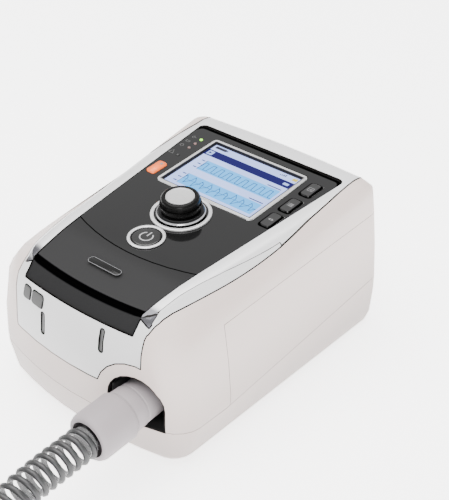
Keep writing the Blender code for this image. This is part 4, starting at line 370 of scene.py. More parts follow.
# Stage
FLOOR_PLACE = Matrix.Translation((0.0, 0.0, -0.0002))
FLOOR_HALF = 25.0
FLOOR_GLOW = 3.0
WORLD_STRENGTH = 1.2
LIGHT_AIM = Vector((0.0, 0.0, 0.06))
LIGHT_TINT = (1.0, 0.99, 0.98)
LIGHTS = (
    ("overhead_softbox", (-0.2, -0.1, 2.0), 2.4, 120.0),
    ("corner_softbox", (1.0, -1.3, 0.7), 0.7, 18.0),
)

# Camera: place and view in metres, lens and sensor in millimetres
CAMERA_PLACE = Vector((0.42738, -0.47448, 0.52872))
CAMERA_AIM = Vector((-0.52470, 0.63039, -0.57210))
CAMERA_LENS = 81.40
CAMERA_SENSOR = 36.0
CAMERA_NEAR = 0.01


# Sizes and colours that a user would change

def colour_property(name, description, default):
    return FloatVectorProperty(
        name=name, description=description, subtype="COLOR", size=3, min=0, max=1, default=default
    )


def length_property(name, description, default):
    return FloatProperty(
        name=name, description=description, unit="LENGTH", precision=5, min=0, default=default
    )


class CasingLooks(bpy.types.PropertyGroup):
    shell: colour_property("Shells", "Colour of the white shells", (0.560, 0.475, 0.445))
    cover: colour_property("Front cover", "Colour of the front cover", (0.540, 0.540, 0.545))
    trim: colour_property("Trim", "Colour of the frame round the panel", (0.66, 0.66, 0.67))
    grain: length_property("Grain", "Depth of the moulded grain", 0.00003)


class PanelLooks(bpy.types.PropertyGroup):
    plate: colour_property("Panel", "Colour of the dark panel", (0.0055, 0.0055, 0.0057))
    mark: colour_property("Marks", "Colour of the printed symbols", (0.42, 0.42, 0.43))
    alarm: colour_property("Alarm key", "Colour of the alarm key", (0.84, 0.15, 0.02))
    line_width: length_property("Line width", "Width of the printed lines", 0.00035)


class DisplayLooks(bpy.types.PropertyGroup):
    ground: colour_property("Ground", "Colour of the display's ground", (0.42, 0.54, 1.00))
    bar: colour_property("Title bar", "Colour of the title bar", (0.004, 0.003, 0.075))
    graph: colour_property("Graphs", "Colour of the two graphs", (0.08, 0.40, 0.85))
    waves: IntProperty(name="Breaths", description="Breaths in one graph", min=2, default=9)


class DialLooks(bpy.types.PropertyGroup):
    ribs: IntProperty(name="Ribs", description="Grip ribs round the dial", min=8, default=60)
    rib_width: length_property("Rib width", "Width of one grip rib", 0.0007)
    rib_height: length_property("Rib height", "How far a grip rib stands out", 0.00025)


class HoseLooks(bpy.types.PropertyGroup):
    diameter: length_property("Diameter", "Outer diameter of the breathing hose", 0.0234)
    pitch: length_property("Pitch", "Distance between two turns of the strand", 0.0065)
    strand: length_property("Strand", "Thickness of the wound strand", 0.0038)
    colour: colour_property("Strand", "Colour of the wound strand", (0.018, 0.018, 0.019))
    cuff: colour_property("Cuffs", "Colour of the soft cuffs", (0.265, 0.238, 0.248))


class StageLooks(bpy.types.PropertyGroup):
    floor: colour_property("Floor", "Colour of the floor", (0.93, 0.93, 0.93))
    light: FloatProperty(name="Light", description="Strength of the soft light", min=0, default=1.0)


# Node trees from expressions, and the finishes made with them

class Link:
    """A node's output that takes part in sums and products."""

    def __init__(self, nodes, made, socket):
        self.nodes = nodes
        self.made = made
        self.socket = socket

    def out(self, name):
        return Link(self.nodes, self.made, self.made.outputs[name])

    def __add__(self, other):
        return self.nodes.maths("ADD", self, other)

    __radd__ = __add__

    def __mul__(self, other):
        return self.nodes.maths("MULTIPLY", self, other)

    __rmul__ = __mul__

    def __sub__(self, other):
        return self.nodes.maths("SUBTRACT", self, other)

    def __rsub__(self, other):
        return self.nodes.maths("SUBTRACT", other, self)

    def __truediv__(self, other):
        return self.nodes.maths("DIVIDE", self, other)


class Nodes:
    """Adds nodes to one tree."""

    def __init__(self, tree):
        self.tree = tree

    def node(self, kind, settings=None, *values, **named):
        """A new node, its inputs given in their order or by name, with _ for a space."""
        made = self.tree.nodes.new(kind)
        for key, value in (settings or {}).items():
            setattr(made, key, value)
        for place, value in enumerate(values):
            self.feed(made.inputs[place], value)
        for key, value in named.items():
            self.feed(made.inputs[key.replace("_", " ")], value)
        return Link(self, made, next((o for o in made.outputs if o.enabled), None))

    def feed(self, socket, value):
        if isinstance(value, Link):
            self.tree.links.new(value.socket, socket)
        elif socket.type == "RGBA" and len(value) == 3:
            socket.default_value = (*value, 1.0)
        else:
            socket.default_value = value

    def maths(self, operation, *values):
        return self.node("ShaderNodeMath", {"operation": operation}, *values)

    def smooth(self, value, low, high):
        """0 below low, 1 above high, smooth between."""
        mode = {"interpolation_type": "SMOOTHSTEP"}
        return self.node("ShaderNodeMapRange", mode, value, low, high)

    def blend(self, share, a, b):
        """Colour a where share is 0 and b where it is 1."""
        made = self.node("ShaderNodeMix", {"data_type": "RGBA"}, share).made
        self.feed(made.inputs[6], a)
        self.feed(made.inputs[7], b)
        return Link(self, made, made.outputs[2])

    def noise(self, where, scale, detail=2.0):
        return self.node("ShaderNodeTexNoise", Vector=where, Scale=scale, Detail=detail)


def grey(value):
    return (value, value, value)


def shade(colour, factor):
    return tuple(min(1.0, channel * factor) for channel in colour)


def shades(colour, *factors):
    return [shade(colour, factor) for factor in factors]


class Finish(Nodes):
    """A material with its Principled shader and object coordinates at hand."""

    def __init__(self, name, **constants):
        self.material = bpy.data.materials.new(name)
        self.material.use_nodes = True
        super().__init__(self.material.node_tree)
        self.shader = self.tree.nodes["Principled BSDF"]
        self.set(**constants)
        self.where = self.node("ShaderNodeTexCoord").out("Object")
        self.split = None

    def axis(self, name):
        if self.split is None:
            self.split = self.node("ShaderNodeSeparateXYZ", Vector=self.where)
        return self.split.out(name)

    def along(self, way):
        """Distance from the panel's origin along a direction in its upright plane."""
        y = self.axis("Y") - PANEL_ORIGIN.y
        z = self.axis("Z") - PANEL_ORIGIN.z
        return y * way.y + z * way.z

    def speckle(self, scale, tints, detail=2.0):
        """Noise over the surface, and a colour between two tints that follows it."""
        speck = self.noise(self.where, scale, detail)
        return speck, self.blend(speck, *tints)

    def grain(self, scale, depth, detail=3.0, strength=0.6):
        """Fine moulded grain in the surface's normal."""
        height = self.noise(self.where, scale, detail)
        bump = self.node("ShaderNodeBump", Strength=strength, Distance=depth, Height=height)
        self.set(Normal=bump)
        return height

    def set(self, **links):
        for key, value in links.items():
            self.feed(self.shader.inputs[key.replace("_", " ")], value)
        return self.material


def speckled(name, scale, tints, gloss, detail=2.0, grain=None, **constants):
    """Colour and roughness that vary together: gloss is the least roughness and its spread."""
    made = Finish(name, **constants)
    if grain:
        made.grain(*grain)
    speck, tint = made.speckle(scale, tints, detail)
    least, spread = gloss
    return made.set(Base_Color=tint, Roughness=speck * spread + least)


def moulded(name, colour, roughness, depth, scale=1400.0, low=None, **constants):
    """Moulded plastic: fine grain, faint cloudiness, slightly uneven gloss; given low, painted
    shade darkens it towards the floor.
    """
    made = Finish(name, **constants)
    made.grain(scale, depth)
    _, tint = made.speckle(14.0, shades(colour, 0.97, 1.03))
    # Painted shade: darker towards the floor, down to low times the colour at the bottom
    if low is not None:
        height = made.smooth(made.axis("Z"), 0.0, CASE_HEIGHT * 0.7)
        tint = made.blend(height, shade(colour, low), tint)
    rough = made.noise(made.where, 60.0) * 0.10 + (roughness - 0.05)
    return made.set(Base_Color=tint, Roughness=rough)


def plated(name, colour, roughness, metallic=0.9):
    """Plated or painted metal effect, with faint fine scratches."""
    tints = shades(colour, 0.92, 1.06)
    gloss = (roughness - 0.07, 0.14)
    return speckled(name, 220.0, tints, gloss, 4.0, (900.0, 0.00001), Metallic=metallic)


# Meshes

def panel_place(u=0.0, v=0.0, n=0.0):
    """From the panel's own axes to the frame: u right, v up the panel, n out of it."""
    turn = Matrix.Rotation(PANEL_TILT, 4, "X")
    return Matrix.Translation(PANEL_ORIGIN) @ turn @ Matrix.Translation((u, v, n))


def outlet_place(y):
    """Z points forward out of the outlet from the given y."""
    return Matrix.Translation((OUTLET_X, y, OUTLET_Z)) @ Matrix.Rotation(math.pi / 2, 4, "X")


def placed(name, data):
    """A new object in the scene."""
    made = bpy.data.objects.new(name, data)
    bpy.context.scene.collection.objects.link(made)
    return made


def piece_from(bm, name, material, place=None, angle=35.0):
    """A finished piece with its place in its mesh."""
    if place is not None:
        bmesh.ops.transform(bm, matrix=place, verts=bm.verts)
    mesh = bpy.data.meshes.new(name)
    bm.to_mesh(mesh)
    bm.free()
    for polygon in mesh.polygons:
        polygon.use_smooth = True
    mesh.set_sharp_from_angle(angle=math.radians(angle))
    for each in material if isinstance(material, (list, tuple)) else [material]:
        mesh.materials.append(each)
    return placed(name, mesh)


def settled(source, name):
    """A plain mesh from an object with modifiers, which is removed."""
    graph = bpy.context.evaluated_depsgraph_get()
    mesh = bpy.data.meshes.new_from_object(source.evaluated_get(graph))
    old = source.data
    bpy.data.objects.remove(source)
    if old.users == 0 and isinstance(old, bpy.types.Mesh):
        bpy.data.meshes.remove(old)
    mesh.name = name
    return placed(name, mesh)


def top_height(y):
    """Height of the casing's top: the panel's plane, rolling down near the front."""
    plane = PANEL_ORIGIN.z + (y - PANEL_ORIGIN.y) * math.tan(PANEL_TILT)
    edge = DROP_LENGTH - HALF_LENGTH * SKIN_RINGS[-1][3]
    return plane - FRONT_DROP * (max(0.0, edge - y) / DROP_LENGTH) ** 2


def corner_curve(start, corner, end, steps):
    points = []
    for step in range(1, steps + 1):
        t = step / steps
        first = start.lerp(corner, CORNER_BULGE)
        last = end.lerp(corner, CORNER_BULGE)
        middle = first.lerp(last, t)
        ahead = start.lerp(first, t).lerp(middle, t)
        points.append(ahead.lerp(middle.lerp(last.lerp(end, t), t), t))
    return points


def half_outline(shares, steps):
    """Points from the middle of the front, round the right side, to the rear's middle."""
    front_half, rear_half, front, rear, bow, front_reach, rear_reach = shares
    front_half *= HALF_WIDTH
    rear_half *= HALF_WIDTH
    front_y = -front * HALF_LENGTH
    rear_y = rear * HALF_LENGTH
    bow *= HALF_WIDTH
    front_corner = Vector((front_half, front_y + bow))
    rear_corner = Vector((rear_half, rear_y - REAR_BOW))
    along = (rear_corner - front_corner).normalized()
    side_start = front_corner + along * front_reach * HALF_WIDTH
    side_end = rear_corner - along * rear_reach * HALF_WIDTH
    front_end = front_half - front_reach * HALF_WIDTH
    rear_start = rear_half - rear_reach * HALF_WIDTH
    xs = [front_end * i / steps for i in range(steps + 1)]
    points = [Vector((x, front_y + bow * (x / front_half) ** 2)) for x in xs]
    points += corner_curve(points[-1], front_corner, side_start, steps)
    points += [side_start.lerp(side_end, i / (4 * steps)) for i in range(1, 4 * steps + 1)]
    xs = [rear_start * (1 - i / steps) for i in range(steps + 1)]
    back = [Vector((x, rear_y - REAR_BOW * (x / rear_half) ** 2)) for x in xs]
    points += corner_curve(points[-1], rear_corner, back[0], steps)
    return points + back[1:]


def skin_field(steps=8):
    """The casing's smooth skin as a search tree, with its corners and their normals."""
    rings = []
    for share, *shares in SKIN_RINGS:
        half = half_outline(shares, steps)
        ring = []
        for point in half + [Vector((-p.x, p.y)) for p in half[-2:0:-1]]:
            local = CASE_HEIGHT + share * (top_height(point.y) - CASE_HEIGHT)
            ring.append(Vector((point.x, point.y, share * local)))
        rings.append(ring)
    top = rings[-1]
    middle = sum(p.y for p in top) / len(top)
    for share in (*TOP_RINGS, 0.02):
        ring = []
        for point in top:
            y = middle + (point.y - middle) * share
            lift = top_height(y) - top_height(point.y)
            ring.append(Vector((point.x * share, y, point.z + lift)))
        rings.append(ring)
    points = [point for ring in rings for point in ring]
    normals = [Vector((0, 0, 0)) for _ in points]
    count = len(top)
    faces = []
    for row in range(len(rings) - 1):
        for i in range(count):
            a, b = row * count + i, row * count + (i + 1) % count
            faces += [(a, b, b + count), (a, b + count, a + count)]
    for a, b, c in faces:
        area = (points[b] - points[a]).cross(points[c] - points[a])
        for corner in (a, b, c):
            normals[corner] += area
    normals = [normal.normalized() for normal in normals]
    return BVHTree.FromPolygons(points, faces), points, faces, normals


FIELD = skin_field()


def skin_normal(point):
    """The smooth skin's normal next to a point, or None away from the skin."""
    tree, points, faces, normals = FIELD
    place, _, index, _ = tree.find_nearest(point, SKIN_REACH)
    if place is None:
        return None
    corners = faces[index]
    shares = poly_3d_calc([points[i] for i in corners], place)
    return sum((normals[i] * share for i, share in zip(corners, shares)), Vector()).normalized()


def shade_as_skin(mesh):
    """Shades the faces that lie along the casing's skin as one smooth surface."""
    loops = [Vector(each.vector) for each in mesh.corner_normals]
    found = {}
    for polygon in mesh.polygons:
        along = skin_normal(polygon.center)
        if along is None or polygon.normal.dot(along) < math.cos(SKIN_ANGLE):
            continue
        for loop in polygon.loop_indices:
            vertex = mesh.loops[loop].vertex_index
            if vertex not in found:
                found[vertex] = skin_normal(mesh.vertices[vertex].co)
            if found[vertex] is not None:
                loops[loop] = found[vertex]
    mesh.normals_split_custom_set(loops)


def bevelled(made, width, segments=3, angle=30.0):
    modifier = made.modifiers.new("edges", "BEVEL")
    modifier.width = width
    modifier.segments = segments
    modifier.limit_method = "ANGLE"
    modifier.angle_limit = math.radians(angle)
    name = made.name
    made.name = name + "_plain"
    materials = list(made.data.materials)
    result = settled(made, name)
    result.data.materials.clear()
    for each in materials:
        result.data.materials.append(each)
    result.data.set_sharp_from_angle(angle=math.radians(angle))
    return result


def revolved(name, profile, material, place, edge=0.00025, segments=96):
    """A closed profile of radius and height, turned round Z, with its edges rounded."""
    bm = bmesh.new()
    turns = [2 * math.pi * i / segments for i in range(segments)]
    rings = []
    for radius, height in profile:
        if radius == 0:
            rings.append([bm.verts.new((0, 0, height))] * segments)
            continue
        points = [(radius * math.cos(turn), radius * math.sin(turn), height) for turn in turns]
        rings.append([bm.verts.new(point) for point in points])
    pairs = list(zip(rings, rings[1:]))
    if profile[0][0] != 0:
        pairs.append((rings[-1], rings[0]))
    for low, high in pairs:
        for i in range(segments):
            j = (i + 1) % segments
            bm.faces.new(list(dict.fromkeys((low[i], low[j], high[j], high[i]))))
    bmesh.ops.recalc_face_normals(bm, faces=bm.faces)
    return bevelled(piece_from(bm, name, material, place), edge)


def strip(bm, points, width, low, high, closed=False, slot=0):
    """A flat ribbon of the given width along points in a plane, with a little thickness."""
    count = len(points)
    rows = []
    for i, (x, y) in enumerate(points):
        before = points[i - 1] if closed or i else points[0]
        after = points[(i + 1) % count] if closed or i < count - 1 else points[-1]
        first = Vector((x - before[0], y - before[1]))
        second = Vector((after[0] - x, after[1] - y))
        first = first.normalized() if first.length > 0 else second.normalized()
        second = second.normalized() if second.length > 0 else first
        along = (first + second).normalized()
        across = Vector((-along.y, along.x))
        reach = width / 2 / max(0.4, across.dot(Vector((-second.y, second.x))))
        rows.append(
            [
                bm.verts.new((x + side * reach * across.x, y + side * reach * across.y, n))
                for side, n in ((-1, low), (1, low), (1, high), (-1, high))
            ]
        )
    pairs = list(zip(rows, rows[1:])) + ([(rows[-1], rows[0])] if closed else [])
    for a, b in pairs:
        for i in range(4):
            j = (i + 1) % 4
            bm.faces.new((a[i], a[j], b[j], b[i])).material_index = slot
    if not closed:
        bm.faces.new(rows[0][::-1]).material_index = slot
        bm.faces.new(rows[-1]).material_index = slot


def prism(bm, under, over, slot=0):
    """A closed solid between two outlines with as many points."""
    under = [bm.verts.new(point) for point in under]
    over = [bm.verts.new(point) for point in over]
    bm.faces.new(under[::-1]).material_index = slot
    bm.faces.new(over).material_index = slot
    for i in range(len(under)):
        j = (i + 1) % len(under)
        bm.faces.new((under[i], under[j], over[j], over[i])).material_index = slot


def slab(bm, outline, low, high, slot=0):
    """A flat plate with the given outline, counter-clockwise."""
    prism(bm, [(x, y, low) for x, y in outline], [(x, y, high) for x, y in outline], slot)


def arc(radius, start, end, x=0.0, y=0.0, steps=24):
    points = []
    for i in range(steps + 1):
        angle = math.radians(start + (end - start) * i / steps)
        points.append((x + radius * math.cos(angle), y + radius * math.sin(angle)))
    return points


def rounded(width, height, corner, x=0.0, y=0.0, steps=5):
    points = []
    for quarter, (side_x, side_y) in enumerate(((1, 1), (-1, 1), (-1, -1), (1, -1))):
        middle = (x + side_x * (width / 2 - corner), y + side_y * (height / 2 - corner))
        points += arc(corner, 90 * quarter, 90 * quarter + 90, *middle, steps)
    return points


def printed_line(bm, points, width, slot=0, closed=False, layer=0):
    """A thin line in the panel's plane. Each layer lies on the one below."""
    low = PRINT_LIFT + layer * PRINT_THICKNESS
    strip(bm, points, width, low, low + PRINT_THICKNESS, closed, slot)


def printed_patch(bm, outline, slot=0, layer=0):
    """A thin filled outline in the panel's plane."""
    low = PRINT_LIFT + layer * PRINT_THICKNESS
    slab(bm, outline, low, low + PRINT_THICKNESS, slot)


def front_piece(bm, name, material):
    """Lays flat work of x, z and height on the casing's front, along its skin."""
    tree = FIELD[0]
    ahead = Vector((0, 1, 0))
    for vert in bm.verts:
        x, z, lift = vert.co
        place = tree.ray_cast(Vector((x, -2 * HALF_LENGTH, z)), ahead)[0]
        vert.co = place + skin_normal(place) * lift
    bmesh.ops.recalc_face_normals(bm, faces=bm.faces)
    return piece_from(bm, name, material)


def dress(material, *names):
    for name in names:
        mesh = NODES[name].data
        mesh.materials.clear()
        mesh.materials.append(material)


def darken_seams(mesh, joint_shade):
    """Paints the narrow walls of the joint lines between two pieces dark, as painted shade in the
    gaps.
    """
    mesh.materials.append(joint_shade)
    last = len(mesh.materials) - 1
    low, high = REAR_FIELD_Z
    for polygon in mesh.polygons:
        centre = polygon.center
        if centre.y > REAR_FIELD_Y and low < centre.z < high:
            continue
        for index in polygon.vertices:
            along = skin_normal(mesh.vertices[index].co)
            if along is not None and abs(polygon.normal.dot(along)) < SEAM_WALL_DOT:
                polygon.material_index = last
                break


def finish_piece(made, slot, *nodes, body="casing"):
    """Joins a piece to its body and hides the CAD nodes it stands for. The slot is not used."""
    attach(made, body)
    if nodes:
        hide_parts(*nodes)
    return made


def merged(node):
    """A CAD node's loose triangles, joined up."""
    bm = bmesh.new()
    bm.from_mesh(NODES[node].data)
    bmesh.ops.remove_doubles(bm, verts=bm.verts, dist=MERGE_REACH)
    return bm


def seam_lines(name, node, finish, width, wanted=None, gap=SEAM_GAP):
    """Dark strips on the skin, along the edges of a piece at its joint lines: painted shade of the
    gaps.
    """
    bm = bmesh.new()
    source = merged(node)
    for edge in source.edges:
        if len(edge.link_faces) != 2:
            continue
        a, b = (vert.co for vert in edge.verts)
        middle = (a + b) / 2
        along = skin_normal(middle)
        if along is None:
            continue
        leans = [face.normal.dot(along) for face in edge.link_faces]
        bend = edge.link_faces[0].normal.dot(edge.link_faces[1].normal)
        if max(leans) < SEAM_SKIN_DOT or min(leans) > SEAM_WALL_DOT or bend > SEAM_BEND_DOT:
            continue
        face = edge.link_faces[leans.index(max(leans))]
        inward = face.normal.cross(b - a).normalized()
        if inward.dot(face.calc_center_median() - a) < 0:
            inward.negate()
        if wanted is not None and not wanted(middle, inward):
            continue
        start, end, rise = inward * -gap, inward * width, face.normal * SEAM_LIFT
        base = (a + start, b + start, b + end, a + end)
        prism(bm, [corner - rise for corner in base], [corner + rise for corner in base])
    source.free()
    bmesh.ops.recalc_face_normals(bm, faces=bm.faces)
    made = piece_from(bm, name, finish, None, 20.0)
    return finish_piece(made, "rubber_black")


def cover_edge(point, inward):
    """The front of the cover, and the outer sides of its arms."""
    return point.y < ARMS_START_Y or inward.x * point.x < 0


def frame_edge(point, inward):
    """The frame's outer sides behind the cover's arms, and its rear."""
    outer = inward.x * point.x < 0 or point.y > REAR_LINE_Y and inward.y < 0
    return point.y > ARMS_END_Y and outer


def rear_edge(point, inward):
    """The rear edge of the panel."""
    return point.y > REAR_LINE_Y


def shown(node, material, slot, body="casing", angle=32.0, on_skin=False, joint_shade=None):
    """A copy of a CAD node with its curves smooth, in its finish and its place."""
    made = piece_from(merged(node), node + "_shown", material, None, angle)
    if on_skin:
        shade_as_skin(made.data)
    # Painted shade on the narrow walls of its joint lines
    if joint_shade is not None:
        darken_seams(made.data, joint_shade)
    return finish_piece(made, slot, node, body=body)


# Geometry Nodes trees

class Growth(Nodes):
    """A Geometry Nodes tree with named inputs for its sizes."""

    def __init__(self, name, *inputs):
        super().__init__(bpy.data.node_groups.new(name, "GeometryNodeTree"))
        face = self.tree.interface
        face.new_socket(name="Geometry", in_out="INPUT", socket_type="NodeSocketGeometry")
        for key in inputs:
            kind = "NodeSocketInt" if key == "Count" else "NodeSocketFloat"
            face.new_socket(name=key, in_out="INPUT", socket_type=kind)
        face.new_socket(name="Material", in_out="INPUT", socket_type="NodeSocketMaterial")
        face.new_socket(name="Geometry", in_out="OUTPUT", socket_type="NodeSocketGeometry")
        self.entry = self.node("NodeGroupInput")

    def wanted(self, name):
        return self.entry.out(name)

    def vector(self, operation, *values, **named):
        return self.node("ShaderNodeVectorMath", {"operation": operation}, *values, **named)

    def circle(self, resolution, radius):
        sizes = {"Resolution": resolution, "Radius": radius}
        return self.node("GeometryNodeCurvePrimitiveCircle", {"mode": "RADIUS"}, **sizes)

    def followed(self):
        """The line that the tree is given, in even steps, and the turns along it."""
        line = self.node("GeometryNodeMeshToCurve", Mesh=self.wanted("Geometry"))
        step = self.wanted("Pitch") / self.wanted("Steps")
        fine = self.node("GeometryNodeResampleCurve", {"mode": "LENGTH"}, Curve=line, Length=step)
        along = self.node("GeometryNodeSplineParameter").out("Length")
        return fine, along / self.wanted("Pitch") * (2 * math.pi)

    def swept(self, curve, section, capped):
        inputs = {"Curve": curve, "Profile_Curve": section, "Fill_Caps": capped}
        return self.node("GeometryNodeCurveToMesh", **inputs)

    def end(self, geometry):
        solid = self.node("GeometryNodeRealizeInstances", Geometry=geometry)
        finish = self.wanted("Material")
        painted = self.node("GeometryNodeSetMaterial", Geometry=solid, Material=finish)
        self.node("NodeGroupOutput", Geometry=painted)
        return self.tree


def grown(name, source, tree, material, **values):
    """What a Geometry Nodes tree makes of the source, as a plain mesh."""
    modifier = source.modifiers.new("growth", "NODES")
    modifier.node_group = tree
    values["Material"] = material
    for item in tree.interface.items_tree:
        if item.in_out == "INPUT" and item.name in values:
            modifier[item.identifier] = values[item.name]
    return settled(source, name)


def line_object(name, points):
    mesh = bpy.data.meshes.new(name)
    mesh.from_pydata(points, [(i, i + 1) for i in range(len(points) - 1)], [])
    return placed(name, mesh)


def strand_growth():
    """A strand wound round the line it follows."""
    tree = Growth("wound_strand", "Radius", "Pitch", "Thickness", "Steps")
    fine, angle = tree.followed()
    tangent = tree.node("GeometryNodeInputTangent")
    normal = tree.node("GeometryNodeInputNormal")
    side = tree.vector("CROSS_PRODUCT", tangent, normal)
    reach = tree.wanted("Radius")
    first = tree.vector("SCALE", normal, Scale=tree.maths("COSINE", angle) * reach)
    second = tree.vector("SCALE", side, Scale=tree.maths("SINE", angle) * reach)
    offset = tree.vector("ADD", first, second)
    wound = tree.node("GeometryNodeSetPosition", Geometry=fine, Offset=offset)
    section = tree.circle(STRAND_SIDES, tree.wanted("Thickness") * 0.5)
    return tree.end(tree.swept(wound, section, True))


def film_growth():
    """The thin film between the strand's turns, drawn in halfway between them."""
    tree = Growth("hose_film", "Radius", "Pitch", "Sag", "Steps")
    fine, angle = tree.followed()
    dip = (1 - tree.maths("COSINE", angle)) * 0.5
    share = 1 - dip * tree.wanted("Sag") / tree.wanted("Radius")
    scaled = tree.node("GeometryNodeSetCurveRadius", Curve=fine, Radius=share)
    section = tree.circle(FILM_SIDES, tree.wanted("Radius"))
    made = tree.swept(scaled, section, False)
    if "Scale" in made.made.inputs:
        tree.feed(made.made.inputs["Scale"], share)
    return tree.end(made)


def joined(name, *objects):
    """One mesh from several, each with its own material."""
    bm = bmesh.new()
    materials = []
    for each in objects:
        first = len(bm.faces)
        bm.from_mesh(each.data)
        bm.faces.ensure_lookup_table()
        for face in bm.faces[first:]:
            face.material_index += len(materials)
        materials += list(each.data.materials)
        mesh = each.data
        bpy.data.objects.remove(each)
        bpy.data.meshes.remove(mesh)
    return piece_from(bm, name, materials, angle=60.0)


# The breathing hose's line, as in the part's source

def smooth_step(value):
    value = min(1.0, max(0.0, value))
    return value * value * (3.0 - 2.0 * value)


def over(stretch, turn):
    """0 before the stretch of turns, 1 after it, smooth between."""
    start, end = stretch
    return smooth_step((turn - start) / (end - start))


def coil_point(turn):
    """A point of the coil: two turns side by side on the floor and a third on both."""
    radius = COIL_RADIUS
    radius -= (COIL_RADIUS - COIL_INNER_RADIUS) * over(COIL_INWARD, turn)
    radius += (COIL_UPPER_RADIUS - COIL_INNER_RADIUS) * over(COIL_OUTWARD, turn)
    height = COIL_HEIGHT
    height += COIL_CROSSING_RISE * over(COIL_CLIMB, turn)
    height -= (COIL_CROSSING_RISE - COIL_GROOVE_RISE) * over(COIL_SETTLE, turn)
    height += (COIL_END_RISE - COIL_GROOVE_RISE) * over(COIL_LAST_CLIMB, turn)
    angle = -2 * math.pi * turn
    return Vector(
        (
            OUTLET_X - COIL_RADIUS + radius * math.cos(angle),
            COIL_START_Y + radius * math.sin(angle),
            height,
        )
    )


def smooth_through(points):
    """A Catmull-Rom curve through the points, as closely spaced points."""
    ends = [2 * points[0] - points[1], *points, 2 * points[-1] - points[-2]]
    line = []
    for a, b, c, d in zip(ends, ends[1:], ends[2:], ends[3:]):
        steps = max(1, round((c - b).length / LINE_STEP))
        for step in range(steps):
            t = step / steps
            second = (2 * a - 5 * b + 4 * c - d) * t**2
            third = (3 * b - a - 3 * c + d) * t**3
            line.append(0.5 * (2 * b + (c - a) * t + second + third))
    return line + [points[-1]]


def hose_line():
    """Points along the hose's middle, from its cuff to its far end."""
    line = smooth_through([Vector((OUTLET_X, y, z)) for y, z in HOSE_ROUTE])
    line = [point for point in line if point.y > HOSE_ROUTE[-1][0] + LINE_STEP / 2]
    count = round(2 * math.pi * COIL_RADIUS * COIL_TURNS / LINE_STEP)
    line += [coil_point(COIL_TURNS * i / count) for i in range(count + 1)]
    way = line[-1] - line[-2]
    way.z = 0
    line.append(line[-1] + way.normalized() * HOSE_END_STRAIGHT)
    return line


def length_of(line):
    return sum((b - a).length for a, b in zip(line, line[1:]))


# Operators

class PieceOperator(bpy.types.Operator):
    bl_options = {"REGISTER", "UNDO"}


class VENTILATOR_OT_stage(PieceOperator):
    """Lay the floor, hang the soft light and set the camera"""

    bl_idname = "ventilator.stage"
    bl_label = "Stage"

    def execute(self, context):
        looks = context.scene.stage_looks
        bm = bmesh.new()
        bmesh.ops.create_grid(bm, x_segments=1, y_segments=1, size=FLOOR_HALF)
        floor = Finish("floor_paper", Roughness=0.75, Emission_Strength=FLOOR_GLOW)
        floor.grain(500.0, 0.00003)
        _, tint = floor.speckle(3.0, shades(looks.floor, 0.99, 1.01))
        paper = floor.set(Base_Color=tint, Emission_Color=tint)
        piece_from(bm, "floor", paper, FLOOR_PLACE)
        world = bpy.data.worlds.new("studio")
        context.scene.world = world
        world.use_nodes = True
        background = world.node_tree.nodes["Background"]
        background.inputs["Color"].default_value = (1.0, 1.0, 1.0, 1.0)
        background.inputs["Strength"].default_value = WORLD_STRENGTH * looks.light
        for name, place, size, power in LIGHTS:
            lamp = bpy.data.lights.new(name, "AREA")
            lamp.shape = "RECTANGLE"
            lamp.size, lamp.size_y = size, size
            lamp.energy = power * looks.light
            lamp.color = LIGHT_TINT
            made = placed(name, lamp)
            made.location = place
            aim = LIGHT_AIM - Vector(place)
            made.rotation_euler = aim.to_track_quat("-Z", "Y").to_euler()
        lens = bpy.data.cameras.new("camera")
        lens.lens = CAMERA_LENS
        lens.sensor_width = CAMERA_SENSOR
        lens.clip_start = CAMERA_NEAR
        camera = placed("camera", lens)
        right = CAMERA_AIM.cross(Vector((0, 0, 1))).normalized()
        up = right.cross(CAMERA_AIM).normalized()
        turn = Matrix((right, up, -CAMERA_AIM.normalized())).transposed().to_4x4()
        camera.matrix_world = Matrix.Translation(CAMERA_PLACE) @ turn
        context.scene.camera = camera
        return {"FINISHED"}


